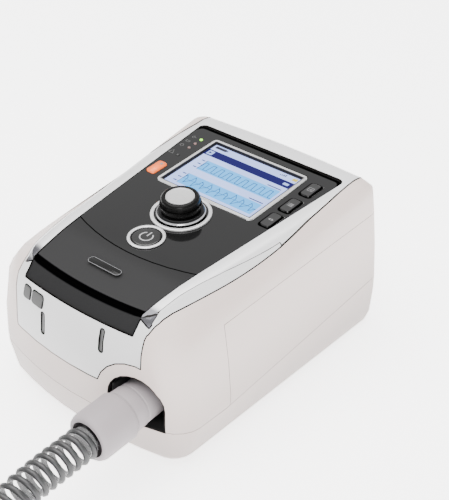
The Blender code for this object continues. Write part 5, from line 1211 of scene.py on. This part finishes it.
class VENTILATOR_OT_hose(PieceOperator):
    """Wind the breathing hose and turn its two soft cuffs"""

    bl_idname = "ventilator.hose"
    bl_label = "Breathing hose"

    def execute(self, context):
        looks = context.scene.hose_looks
        line = hose_line()
        strand = moulded("hose_strand", looks.colour, 0.42, 0.00002, 900.0)
        film = Finish("hose_film", Roughness=0.25, Alpha=0.14)
        _, tint = film.speckle(40.0, ((0.66, 0.66, 0.67), (0.74, 0.74, 0.75)))
        film = film.set(Base_Color=tint)
        sizes = {"Radius": (looks.diameter - looks.strand) / 2, "Pitch": looks.pitch}
        wound = grown(
            "strand",
            line_object("hose_line", line),
            strand_growth(),
            strand,
            Thickness=looks.strand,
            Steps=STRAND_STEPS,
            **sizes,
        )
        skin = grown(
            "film",
            line_object("hose_line", line),
            film_growth(),
            film,
            Sag=FILM_SAG,
            Steps=FILM_STEPS,
            **sizes,
        )
        hose = joined("breathing_hose", wound, skin)
        cuff = self.soft_cuff(looks)
        near = revolved("outlet_cuff", OUTLET_CUFF, cuff, outlet_place(-CUFF_START))
        end = line[-1]
        way = (end - line[-2]).normalized()
        turn = way.to_track_quat("Z", "Y").to_matrix().to_4x4()
        far = revolved("mask_cuff", MASK_CUFF, cuff, Matrix.Translation(end) @ turn)
        finish_piece(hose, "hose_grey", "air_hose", "hose_coil")
        finish_piece(near, "cuff_grey", "hose_cuff")
        finish_piece(far, "cuff_grey", "far_cuff")
        length_of(line)
        return {"FINISHED"}

    def soft_cuff(self, looks):
        """Soft grey rubber, with painted shade on the neck inside the recess and in the cuff's
        mouth.
        """
        cuff = Finish("cuff_rubber", Specular_IOR_Level=0.35)
        cuff.grain(1100.0, 0.00003)
        _, tint = cuff.speckle(18.0, shades(looks.cuff, 0.96, 1.04))
        # Painted shade on the neck inside the recess
        neck = cuff.smooth(cuff.axis("Y"), NECK_LIGHT_Y, NECK_DARK_Y)
        tint = cuff.blend(neck, tint, shade(looks.cuff, 0.65))
        # Painted shade in the cuff's mouth
        across = cuff.axis("X") - OUTLET_X
        high = cuff.axis("Z") - OUTLET_Z
        span = across * across + high * high
        mouth = cuff.smooth(span, CUFF_MOUTH_OUTER**2, CUFF_MOUTH_INNER**2)
        tint = cuff.blend(mouth, tint, shade(looks.cuff, 0.16))
        rough = cuff.noise(cuff.where, 90.0) * 0.10 + 0.48
        return cuff.set(Base_Color=tint, Roughness=rough)


class VENTILATOR_OT_shells(PieceOperator):
    """Finish the white shells, the front cover and the trim"""

    bl_idname = "ventilator.shells"
    bl_label = "Shells and trim"

    def execute(self, context):
        looks = context.scene.casing_looks
        shell = moulded("shell_plastic", looks.shell, 0.42, looks.grain, low=SHELL_LOW_SHADE)
        cover = moulded("cover_plastic", looks.cover, 0.38, looks.grain)
        # Near-black painted shade for the gaps between the shells, on their narrow walls and in
        # strips on the skin
        tint = (0.012, 0.011, 0.010)
        joint_shade = moulded("seam_shade", tint, 0.75, 0.00002, Specular_IOR_Level=0.1)
        for node, finish, slot in (
            ("base_tray", shell, "case_white"),
            ("rear_housing", shell, "case_white"),
            ("upper_housing", shell, "case_white"),
            ("front_cover", cover, "cover_grey"),
            ("trim_frame", self.frame_paint(looks), "trim_silver"),
        ):
            shown(node, finish, slot, on_skin=True, joint_shade=joint_shade)
        shown("filter_cover", shell, "case_white", "filter_door", on_skin=True, joint_shade=joint_shade)
        # Painted shade along the joint lines round the cover and the frame
        seam_lines("cover_seam", "front_cover", self.cover_gap(looks), SEAM_LINE, cover_edge)
        seam_lines("frame_seam", "trim_frame", joint_shade, FRAME_LINE, frame_edge)
        # A floor in each slot, dark grey as painted shade in the recess
        inset = moulded("slot_inset", grey(0.10), 0.40, 0.00002)
        for side, x, z in (("left", -SLOT_X, SLOT_LEFT_Z), ("right", SLOT_X, SLOT_RIGHT_Z)):
            bm = bmesh.new()
            outline = rounded(SLOT_WIDTH, SLOT_LENGTH, SLOT_CORNER, x, z, 6)
            slab(bm, outline, SLOT_FLOOR, SLOT_FLOOR + SLOT_INSET)
            finish_piece(front_piece(bm, f"slot_inset_{side}", inset), "light_grey")
        return {"FINISHED"}

    def frame_paint(self, looks):
        """Silver-grey paint, like dark chrome at the frame's two front ends."""
        trim = Finish("trim_paint")
        trim.grain(1200.0, 0.00001)
        front = trim.smooth(trim.axis("Y"), TRIM_SILVER_Y, TRIM_DARK_Y)
        tint = trim.blend(front, looks.trim, (0.10, 0.10, 0.11))
        rough = trim.noise(trim.where, 150.0) * 0.10 + (0.34 - front * 0.14)
        return trim.set(Base_Color=tint, Roughness=rough, Metallic=front * 0.50 + 0.35)

    def cover_gap(self, looks):
        """The joint line round the cover, as painted shade of its gap: black on the right and above
        the slots' low end, light grey elsewhere.
        """
        gap = Finish("cover_gap", Roughness=0.6, Specular_IOR_Level=0.0)
        side = gap.smooth(gap.axis("X"), SEAM_PALE_X, SEAM_BLACK_X)
        slots = gap.smooth(gap.axis("Z"), SLOTS_LOW_Z, SLOTS_LOW_Z + 0.0015)
        slots = slots * gap.smooth(gap.axis("X"), SLOTS_LEFT_X, SLOTS_LEFT_X + 0.003)
        shade_share = gap.maths("MAXIMUM", side, slots)
        return gap.set(Base_Color=gap.blend(shade_share, shade(looks.shell, 0.35), grey(0.0006)))


class VENTILATOR_OT_panel(PieceOperator):
    """Finish the dark panel and lay its printed symbols and plain badge on it"""

    bl_idname = "ventilator.panel"
    bl_label = "Control panel"

    def execute(self, context):
        looks = context.scene.panel_looks
        plate = self.plate(looks)
        tray = moulded("tray_plastic", (0.012, 0.012, 0.013), 0.45, 0.00002)
        # Black painted shade for the panel's gaps, the trench at its rear and the rings round the
        # menu keys
        joint_shade = moulded("panel_seam", grey(0.0006), 0.6, 0.00001, Specular_IOR_Level=0.0)
        shown("control_panel", plate, "panel_dark", on_skin=True, joint_shade=joint_shade)
        shown("panel_lid", plate, "panel_dark", on_skin=True, joint_shade=joint_shade)
        seam_lines("lid_seam", "panel_lid", joint_shade, SEAM_LINE)
        seam_lines("rear_trench", "control_panel", joint_shade, REAR_LINE, rear_edge, REAR_GAP)
        shown("front_fascia", plate, "gloss_black", on_skin=True, joint_shade=joint_shade)
        shown("panel_tray", tray, "rubber_black")
        shown("screen_bezel", self.bezel(), "white_plastic")
        self.symbols(looks, joint_shade)
        self.badge()
        return {"FINISHED"}

    def plate(self, looks):
        """Coated black: dull on the front plate, with a lighter grey there as painted reflection in
        place of the coat's sheen, and blackest where that rolls over.
        """
        plate = Finish("panel_gloss", Specular_IOR_Level=0.0, Coat_IOR=1.5, Coat_Roughness=0.06)
        plate.grain(1600.0, 0.000006)
        x, y, z = (plate.axis(name) for name in "XYZ")
        roll = plate.smooth(x * x * NOSE_BOW - y, ROLL_START, ROLL_END)
        face = z - x * x * NOSE_LIFT
        low, high = BAND_LOW_Z - BAND_FADE, BAND_LOW_Z + BAND_FADE
        matt_and_painted_sheen = plate.smooth(y, MATT_Y + MATT_FADE, MATT_Y)
        _, tint = plate.speckle(30.0, shades(looks.plate, 0.94, 1.06))
        # Painted reflection: the uncoated front is lighter grey to stand in for the coat's sheen, a
        # little less on the face below the band; the roll is blackest
        for share, colour in (
            (matt_and_painted_sheen, (0.026, 0.026, 0.0265)),
            (plate.smooth(face, high, low) * matt_and_painted_sheen, (0.017, 0.017, 0.0175)),
            (roll * plate.smooth(face, low, high), (0.0004, 0.0004, 0.0005)),
        ):
            tint = plate.blend(share, tint, colour)
        rough = plate.noise(plate.where, 200.0, 4.0) * 0.06 + PANEL_ROUGHNESS
        return plate.set(Base_Color=tint, Roughness=rough, Coat_Weight=(1 - matt_and_painted_sheen) * PANEL_COAT)

    def bezel(self):
        """Light grey, with its inner edge dark."""
        bezel = Finish("bezel_plastic")
        sides = ((bezel.axis("X"), WINDOW_WIDTH), (bezel.along(PANEL_UP), WINDOW_HEIGHT))
        u, v = (bezel.maths("ABSOLUTE", at) - (size / 2 + BEZEL_DARK) for at, size in sides)
        inner = bezel.smooth(bezel.maths("MAXIMUM", u, v), 0.0002, -0.0002)
        speck, tint = bezel.speckle(300.0, (grey(0.42), grey(0.50)))
        tint = bezel.blend(inner, tint, (0.010, 0.010, 0.012))
        return bezel.set(Base_Color=tint, Roughness=speck * 0.1 + 0.30)

    def symbols(self, looks, joint_shade):
        """Small lamp symbols and the bell by the lights, with painted shade round each menu key and
        a painted highlight along its right and rear edges.
        """
        faint = speckled("faint_print", 900.0, (grey(0.06), grey(0.09)), (0.45, 0.1))
        print_and_highlight, black = range(2)
        bm = bmesh.new()
        width = looks.line_width
        # Round each menu key: a black ring as painted shade, and a light line along its right and
        # rear edges as a painted highlight
        for v in MENU_KEY_VS:
            outer = (KEY_WIDTH + KEY_SHADE_MARGIN, KEY_LENGTH + KEY_SHADE_MARGIN)
            outline = rounded(*outer, KEY_SHADE_CORNER, MENU_KEY_U, v)
            printed_line(bm, outline, KEY_SHADE_LINE, black, True)
            right = MENU_KEY_U + KEY_WIDTH / 2 + 0.0015
            back = v + KEY_LENGTH / 2 + 0.0012
            corner = [(right, v - 0.0060), (right, back), (MENU_KEY_U - 0.0030, back)]
            printed_line(bm, corner, width * 0.7, print_and_highlight)
        u, v = BELL_PLACE
        triangle = [(u - 0.0022, v - 0.0016), (u + 0.0022, v - 0.0016), (u, v + 0.0024)]
        printed_line(bm, triangle, width, print_and_highlight, True)
        u = LIGHT_U - 0.0070
        mains, battery, lamp = LIGHT_SIGN_VS
        printed_line(bm, arc(0.0012, 60, 300, u, mains, 12), width, print_and_highlight)
        printed_line(bm, [(u, mains), (u + 0.0022, mains)], width, print_and_highlight)
        outline = rounded(0.0032, 0.0018, 0.0003, u, battery, 2)
        printed_line(bm, outline, width, print_and_highlight, True)
        printed_line(bm, arc(0.0014, 0, 360, u, lamp, 16)[:-1], width, print_and_highlight, True)
        made = piece_from(bm, "panel_print", [faint, joint_shade], panel_place(n=PANEL_TOP))
        finish_piece(made, "silver_plastic")

    def badge(self):
        """A plain badge with a thin silver rim."""
        tints = (grey(0.004), grey(0.007))
        gloss = speckled("badge_gloss", 300.0, tints, (0.12, 0.04), Specular_IOR_Level=0.15)
        silver = plated("badge_rim", (0.22, 0.22, 0.23), 0.30, 0.6)
        place = panel_place(n=PANEL_TOP + BADGE_LIFT)
        outline = rounded(BADGE_WIDTH, BADGE_HEIGHT, BADGE_HEIGHT / 2, 0, BADGE_V, 10)
        bm = bmesh.new()
        slab(bm, outline, 0, BADGE_THICKNESS)
        made = bevelled(piece_from(bm, "plain_badge", gloss, place), 0.00015)
        finish_piece(made, "gloss_black")
        bm = bmesh.new()
        strip(bm, outline, BADGE_RIM, BADGE_THICKNESS / 2, BADGE_THICKNESS + 0.0001, True)
        finish_piece(piece_from(bm, "badge_edge", silver, place), "silver_plastic")


class VENTILATOR_OT_keys(PieceOperator):
    """Shape the keys, their symbols and the status lights"""

    bl_idname = "ventilator.keys"
    bl_label = "Keys and lights"

    def execute(self, context):
        looks = context.scene.panel_looks
        dark = speckled(
            "key_gloss",
            120.0,
            shades(looks.plate, 0.9, 1.1),
            (PANEL_ROUGHNESS, 0.06),
            4.0,
            Specular_IOR_Level=0.3,
            Coat_Weight=0.40,
            Coat_IOR=1.5,
            Coat_Roughness=0.06,
        )
        tints = shades(looks.alarm, 0.92, 1.10)
        alarm = speckled("alarm_key_plastic", 120.0, tints, (0.28, 0.08), Specular_IOR_Level=0.5)
        ink = speckled("key_print", 900.0, shades(looks.mark, 0.30, 0.44), (0.42, 0.1))
        upper, middle, lower = ((MENU_KEY_U, v) for v in MENU_KEY_VS)
        flat = (dark, "panel_dark", 12.0)
        round_edged = (alarm, "key_orange", 40.0)
        for node, body, place, (finish, slot, angle), sign in (
            ("menu_key_upper", "upper_menu_key", upper, flat, self.tool_sign),
            ("menu_key_middle", "middle_menu_key", middle, flat, self.list_sign),
            ("menu_key_lower", "lower_menu_key", lower, flat, self.page_sign),
            ("alarm_key", "alarm_mute_key", ALARM_KEY, round_edged, self.lamp_sign),
        ):
            shown(node, finish, slot, body, angle)
            bm = bmesh.new()
            sign(bm, *place, looks.line_width)
            made = piece_from(bm, body + "_sign", ink, panel_place(n=KEY_TOP))
            finish_piece(made, "light_grey", body=body)
        for index, tint in enumerate(LAMP_TINTS, 1):
            lit = index == 1
            lens = Finish(f"lamp_lens_{index}", Emission_Strength=0.9 if lit else 0.0)
            glow, tint = lens.speckle(400.0, shades(tint, 0.9, 1.1))
            lens.set(Base_Color=tint, Emission_Color=tint, Roughness=glow * 0.1 + 0.15)
            slot = "light_green" if lit else "light_grey"
            shown(f"status_light_{index}", lens.material, slot, angle=50.0)
        return {"FINISHED"}

    def tool_sign(self, bm, u, v, width):
        printed_line(bm, rounded(0.0040, 0.0040, 0.0006, u, v, 3), width, closed=True)
        printed_line(bm, [(u - 0.0010, v - 0.0010), (u + 0.0010, v + 0.0010)], width)
        ring = arc(0.0006, 0, 360, u + 0.0008, v - 0.0008, 12)[:-1]
        printed_line(bm, ring, width * 0.7, closed=True)

    def list_sign(self, bm, u, v, width):
        for y in (v - 0.0013, v, v + 0.0013):
            printed_patch(bm, rounded(0.0030, 0.0006, 0.00015, u + 0.0006, y, 2))
            printed_patch(bm, rounded(0.0006, 0.0006, 0.00015, u - 0.0017, y, 2))

    def page_sign(self, bm, u, v, width):
        left, right = u - 0.0004, u + 0.0004
        printed_patch(bm, [(u - 0.0020, v), (left, v - 0.0012), (left, v + 0.0012)])
        printed_patch(bm, [(right, v - 0.0012), (u + 0.0020, v), (right, v + 0.0012)])

    def lamp_sign(self, bm, u, v, width):
        printed_patch(bm, rounded(0.0022, 0.0022, 0.0006, u + 0.0005, v + 0.0046, 3))


class VENTILATOR_OT_dial(PieceOperator):
    """Turn the push dial, its ring and the power button"""

    bl_idname = "ventilator.dial"
    bl_label = "Dial and power button"

    def execute(self, context):
        looks = context.scene.dial_looks
        panel = context.scene.panel_looks
        ring = plated("ring_plate", (0.60, 0.60, 0.61), 0.32, 0.55)
        grip = moulded(
            "grip_rubber", grey(0.0012), 0.30, 0.00001, 2200.0, Specular_IOR_Level=0.12
        )
        tints, grain = (grey(0.36), grey(0.41)), (2600.0, 0.00001)
        cap = speckled("cap_paint", 500.0, tints, (0.38, 0.1), 4.0, grain, Metallic=0.25)
        tints = shades(panel.plate, 0.85, 1.1)
        button = speckled("button_gloss", 120.0, tints, (0.18, 0.06), 4.0, Specular_IOR_Level=0.5)
        ink = speckled("power_print", 900.0, shades(panel.mark, 0.63, 0.70), (0.4, 0.1))
        knob = panel_place(v=DIAL_V)
        push = panel_place(v=POWER_V)
        for node, profile, finish, place, body, slot, edge, segments in (
            ("dial_ring", DIAL_RING, ring, knob, "casing", "silver_plastic", 0.0003, 96),
            ("dial_skirt", DIAL_SKIRT, self.skirt(), knob, "dial", "silver_plastic", 0.0002, 96),
            ("dial_drum", DIAL_DRUM, grip, knob, "dial", "rubber_black", 0.0009, 120),
            ("dial_cap", DIAL_CAP, cap, knob, "dial", "cap_grey", 0.00025, 96),
            ("power_ring", POWER_RING, ring, push, "casing", "silver_plastic", 0.0003, 96),
            ("power_button", POWER_BUTTON, button, push, "power_key", "panel_dark", 0.0005, 96),
        ):
            made = revolved(node + "_shown", profile, finish, place, edge, segments)
            if profile is DIAL_DRUM:
                made = joined(made.name, made, self.ribs(looks, grip))
            finish_piece(made, slot, node, body=body)
        bm = bmesh.new()
        printed_line(bm, arc(POWER_SIGN, 125, 415, steps=40), POWER_LINE)
        printed_line(bm, [(0, POWER_SIGN * 0.15), (0, POWER_SIGN * 1.25)], POWER_LINE)
        made = piece_from(bm, "power_sign", ink, panel_place(v=POWER_V, n=KEY_TOP))
        finish_piece(made, "light_grey", body="power_key")
        return {"FINISHED"}

    def skirt(self):
        """Chrome, black in its upper part under the grip."""
        chrome = Finish("skirt_plate", Metallic=0.85)
        chrome.grain(900.0, 0.00001)
        wear, tint = chrome.speckle(220.0, ((0.51, 0.51, 0.53), (0.58, 0.58, 0.60)), 4.0)
        upper = chrome.smooth(chrome.along(PANEL_OUT), SKIRT_DARK, SKIRT_DARK + 0.0004)
        tint = chrome.blend(upper, tint, (0.012, 0.012, 0.013))
        return chrome.set(Base_Color=tint, Roughness=wear * 0.14 + 0.13)

    def ribs(self, looks, finish):
        """Fine grip ribs round the dial."""
        tree = Growth("grip_ribs", "Count", "Radius", "Width", "Rise", "Length", "Height")
        ring = tree.circle(tree.wanted("Count"), tree.wanted("Radius"))
        points = tree.node("GeometryNodeCurveToPoints", {"mode": "EVALUATED"}, Curve=ring)
        sizes = (tree.wanted(name) for name in ("Width", "Rise", "Length"))
        size = tree.node("ShaderNodeCombineXYZ", None, *sizes)
        rib = tree.node("GeometryNodeMeshCube", Size=size)
        inputs = {"Points": points, "Instance": rib, "Rotation": points.out("Rotation")}
        spread = tree.node("GeometryNodeInstanceOnPoints", **inputs)
        lift = tree.node("ShaderNodeCombineXYZ", Z=tree.wanted("Height"))
        raised = tree.node("GeometryNodeSetPosition", Geometry=spread, Offset=lift)
        made = grown(
            "ribs",
            line_object("rib_seed", [(0, 0, 0), (0, 0, 0.001)]),
            tree.end(raised),
            finish,
            Count=looks.ribs,
            Radius=DRUM_RADIUS - looks.rib_height / 2,
            Width=looks.rib_width,
            Rise=looks.rib_height,
            Length=DRUM_HIGH - DRUM_LOW - RIB_MARGIN,
            Height=(DRUM_LOW + DRUM_HIGH) / 2 - RIB_DROP,
        )
        made.data.transform(panel_place(v=DIAL_V))
        return made


class VENTILATOR_OT_display(PieceOperator):
    """Draw the display's plain bars and breath curves"""

    bl_idname = "ventilator.display"
    bl_label = "Display"

    def execute(self, context):
        looks = context.scene.display_looks
        shown("screen_window", self.lit("display_ground", looks.ground), "screen_glass")
        colours = (looks.bar, looks.graph, *DISPLAY_TINTS)
        lit = [self.lit(f"display_ink_{i}", tint) for i, tint in enumerate(colours)]
        bm = bmesh.new()
        edge = rounded(WINDOW_WIDTH - EDGE_LINE, WINDOW_HEIGHT - EDGE_LINE, 0.0005, steps=2)
        printed_line(bm, edge, EDGE_LINE, BLACK_INK, True)
        for ink, layer, *outline in DISPLAY_BLOCKS:
            printed_patch(bm, rounded(*outline), ink, layer)
        for i in range(SIGNAL_BARS):
            height = SIGNAL_LEAST + SIGNAL_GROWTH * i
            place = (SIGNAL_LEFT + SIGNAL_PITCH * i, SIGNAL_LOW + height / 2)
            printed_patch(bm, rounded(SIGNAL_WIDTH, height, 0.0001, *place, 1), BLACK_INK)
        arrow = [(DISPLAY_LEFT + x, TITLE_V + y) for x, y in TITLE_ARROW]
        printed_patch(bm, arrow, BAR_INK, 2)
        clip = arc(0.0011, 0, 180, -DISPLAY_LEFT - 0.0040, STATUS_V + 0.0007, 10)
        printed_line(bm, clip, 0.0004, YELLOW_INK)
        for centre, reach, base, wave in (
            (0.030, 0.215, -0.38, self.pulses),
            (-0.315, 0.225, 0.0, self.breaths),
        ):
            y, height = WINDOW_HEIGHT * centre, WINDOW_HEIGHT * reach
            self.graph(bm, y, height, y + height * base, wave, looks.waves)
        made = piece_from(bm, "display_picture", lit, panel_place(n=WINDOW_TOP))
        finish_piece(made, "screen_glass")
        return {"FINISHED"}

    def graph(self, bm, y, height, base, wave, count):
        """One graph with its axes, its ticks and its curve."""
        start, end = DISPLAY_LEFT + 0.0105, -DISPLAY_LEFT - 0.0035
        area = rounded(end - start, height, 0.0002, (start + end) / 2, y, 1)
        printed_patch(bm, area, GRAPH_INK)
        sides = [(start, y - height / 2), (start, y + height / 2)]
        printed_line(bm, sides, 0.0003, CURVE_INK, layer=1)
        printed_line(bm, [(start, base), (end, base)], 0.0002, CURVE_INK, layer=1)
        for step in (-1, 0, 1):
            tick = y + step * height * 0.38
            printed_patch(bm, rounded(0.0030, 0.0009, 0.0002, start - 0.0030, tick, 1), CURVE_INK)
            printed_line(bm, [(start - 0.0010, tick), (start, tick)], 0.00025, CURVE_INK, layer=1)
        name = (-DISPLAY_LEFT - 0.0100, y + height / 2 + 0.0016)
        printed_patch(bm, rounded(0.0120, 0.0009, 0.0002, *name, 1), CURVE_INK)
        low = PRINT_LIFT + PRINT_THICKNESS
        points = wave(start, end, base, height, count)
        strip(bm, points, WAVE_LINE, low, low + WAVE_THICKNESS, slot=CURVE_INK)

    def pulses(self, start, end, base, height, count):
        """Pressure: a soft-edged step for every breath."""
        points = []
        wide = (end - start) / count
        for i in range(count):
            x = start + wide * i
            high = base + height * 0.66
            points += [(x, base), (x + wide * 0.12, high * 0.98 + base * 0.02)]
            points += [(x + wide * 0.18, high), (x + wide * 0.50, high)]
            points += [(x + wide * 0.58, base + height * 0.06), (x + wide * 0.66, base)]
        return points + [(end, base)]

    def breaths(self, start, end, base, height, count):
        """Flow: a sharp rise and a slower fall for every breath."""
        points = []
        wide = (end - start) / count
        for i in range(count):
            x = start + wide * i
            swing = height * (0.34 + 0.06 * math.sin(2.3 * i))
            for along, share in ((0, 0), (0.10, 1), (0.42, 0.35), (0.50, -1), (0.80, -0.30)):
                points.append((x + wide * along, base + swing * share))
        return points + [(end, base)]

    def lit(self, name, colour):
        """The glow of a backlit display under its clear front."""
        made = Finish(name, Emission_Strength=DISPLAY_GLOW, Specular_IOR_Level=0.1)
        cells, glow = made.speckle(2600.0, shades(colour, 0.97, 1.03))
        dim = made.blend(cells, *shades(colour, 0.10, 0.14))
        return made.set(Base_Color=dim, Emission_Color=glow, Roughness=cells * 0.05 + 0.16)


class VENTILATOR_OT_outlet(PieceOperator):
    """Finish the outlet's recess and spigot, and the plugs of the pressure ports"""

    bl_idname = "ventilator.outlet"
    bl_label = "Breathing outlet"

    def execute(self, context):
        liner = moulded("liner_plastic", grey(0.0015), 0.50, 0.00003, Specular_IOR_Level=0.1)
        spigot = moulded("spigot_plastic", (0.62, 0.62, 0.61), 0.34, 0.00001)
        plug = moulded("plug_plastic", grey(0.055), 0.50, 0.00002, Specular_IOR_Level=0.2)
        shown("port_liner", liner, "rubber_black")
        shown("outlet_spigot", spigot, "white_plastic")
        for side in ("left", "right"):
            shown(f"pressure_port_plug_{side}", plug, "plug_grey", on_skin=True)
        return {"FINISHED"}


class VENTILATOR_OT_inside(PieceOperator):
    """Finish the boards, blower, silencer and battery inside the casing"""

    bl_idname = "ventilator.inside"
    bl_label = "Inside"

    def execute(self, context):
        board = Finish("circuit_board", Specular_IOR_Level=0.5)
        tracks = board.smooth(board.noise(board.where, 260.0, 1.0), 0.52, 0.56)
        tint = board.blend(tracks, (0.010, 0.100, 0.035), (0.016, 0.160, 0.055))
        board.grain(700.0, 0.00002)
        board = board.set(Base_Color=tint, Roughness=tracks * 0.15 + 0.30)
        zinc = plated("zinc_plate", (0.42, 0.42, 0.43), 0.38, 0.6)
        steel = plated("bright_steel", grey(0.60), 0.26, 1.0)
        blower = moulded("blower_plastic", (0.35, 0.35, 0.36), 0.45, 0.00003)
        impeller = moulded("impeller_plastic", (0.62, 0.62, 0.61), 0.36, 0.00001)
        rubber = moulded("soft_rubber", grey(0.014), 0.62, 0.00004, 700.0)
        battery = moulded("battery_case", (0.018, 0.018, 0.020), 0.40, 0.00003)
        for finish, *nodes in (
            (board, "main_board", "key_board"),
            (zinc, "lcd_module", "power_supply"),
            (steel, "encoder", "encoder_shaft", "blower_motor"),
            (blower, "blower_housing"),
            (impeller, "impeller"),
            (rubber, "silencer_box", "outlet_duct"),
            (battery, "battery_pack"),
        ):
            dress(finish, *nodes)
        return {"FINISHED"}


class VENTILATOR_OT_rear(PieceOperator):
    """Finish the mains inlet, rocker, gas inlet, port cover and filter pad"""

    bl_idname = "ventilator.rear"
    bl_label = "Rear fittings"

    def execute(self, context):
        black = grey(0.004)
        inlet = moulded("inlet_plastic", black, 0.40, 0.00003, Specular_IOR_Level=0.2)
        rocker = moulded("rocker_plastic", black, 0.30, 0.00001, Specular_IOR_Level=0.3)
        cover = moulded("port_cover_rubber", grey(0.30), 0.52, 0.00003)
        nickel = plated("inlet_nickel", (0.58, 0.57, 0.55), 0.24, 1.0)
        shown("mains_inlet", inlet, "gloss_black")
        shown("rocker_switch", rocker, "rubber_black", "mains_rocker")
        shown("data_port_cover", cover, "plug_grey", angle=10.0)
        shown("oxygen_inlet", nickel, "steel")
        foam = Finish("filter_foam")
        cells = foam.grain(1500.0, 0.0004, 4.0, 0.8)
        tint = foam.blend(foam.smooth(cells, 0.35, 0.65), (0.30, 0.31, 0.33), (0.62, 0.63, 0.64))
        dress(foam.set(Base_Color=tint, Roughness=cells * 0.1 + 0.85), "air_filter")
        return {"FINISHED"}


class VENTILATOR_OT_underside(PieceOperator):
    """Finish the feet and the casing screws"""

    bl_idname = "ventilator.underside"
    bl_label = "Underside"

    def execute(self, context):
        rubber = moulded("foot_rubber", grey(0.016), 0.66, 0.00005, 800.0)
        screw = plated("screw_steel", (0.55, 0.55, 0.56), 0.30, 1.0)
        for index in (1, 2, 3, 4):
            shown(f"foot_{index}", rubber, "rubber_black")
            shown(f"case_screw_{index}", screw, "steel")
        return {"FINISHED"}


PIECE_OPERATORS = (
    VENTILATOR_OT_stage,
    VENTILATOR_OT_hose,
    VENTILATOR_OT_shells,
    VENTILATOR_OT_panel,
    VENTILATOR_OT_keys,
    VENTILATOR_OT_dial,
    VENTILATOR_OT_display,
    VENTILATOR_OT_outlet,
    VENTILATOR_OT_inside,
    VENTILATOR_OT_rear,
    VENTILATOR_OT_underside,
)

LOOKS = {
    "casing_looks": CasingLooks,
    "panel_looks": PanelLooks,
    "display_looks": DisplayLooks,
    "dial_looks": DialLooks,
    "hose_looks": HoseLooks,
    "stage_looks": StageLooks,
}


class VENTILATOR_PT_pieces(bpy.types.Panel):
    """The ventilator's pieces and their sizes and colours"""

    bl_idname = "VENTILATOR_PT_pieces"
    bl_label = "Transport ventilator"
    bl_space_type = "VIEW_3D"
    bl_region_type = "UI"
    bl_category = "Ventilator"

    def draw(self, context):
        for operator in PIECE_OPERATORS:
            self.layout.operator(operator.bl_idname)
        for name, group in LOOKS.items():
            box = self.layout.box()
            looks = getattr(context.scene, name)
            for key in group.__annotations__:
                box.prop(looks, key)


CLASSES = (*LOOKS.values(), *PIECE_OPERATORS, VENTILATOR_PT_pieces)


def register():
    for each in CLASSES:
        bpy.utils.register_class(each)
    for name, group in LOOKS.items():
        setattr(bpy.types.Scene, name, PointerProperty(type=group))


def unregister():
    for name in LOOKS:
        delattr(bpy.types.Scene, name)
    for each in reversed(CLASSES):
        bpy.utils.unregister_class(each)


def main():
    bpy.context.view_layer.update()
    register()
    for operator in PIECE_OPERATORS:
        family, name = operator.bl_idname.split(".")
        getattr(getattr(bpy.ops, family), name)()


if __name__ == "__main__":
    main()
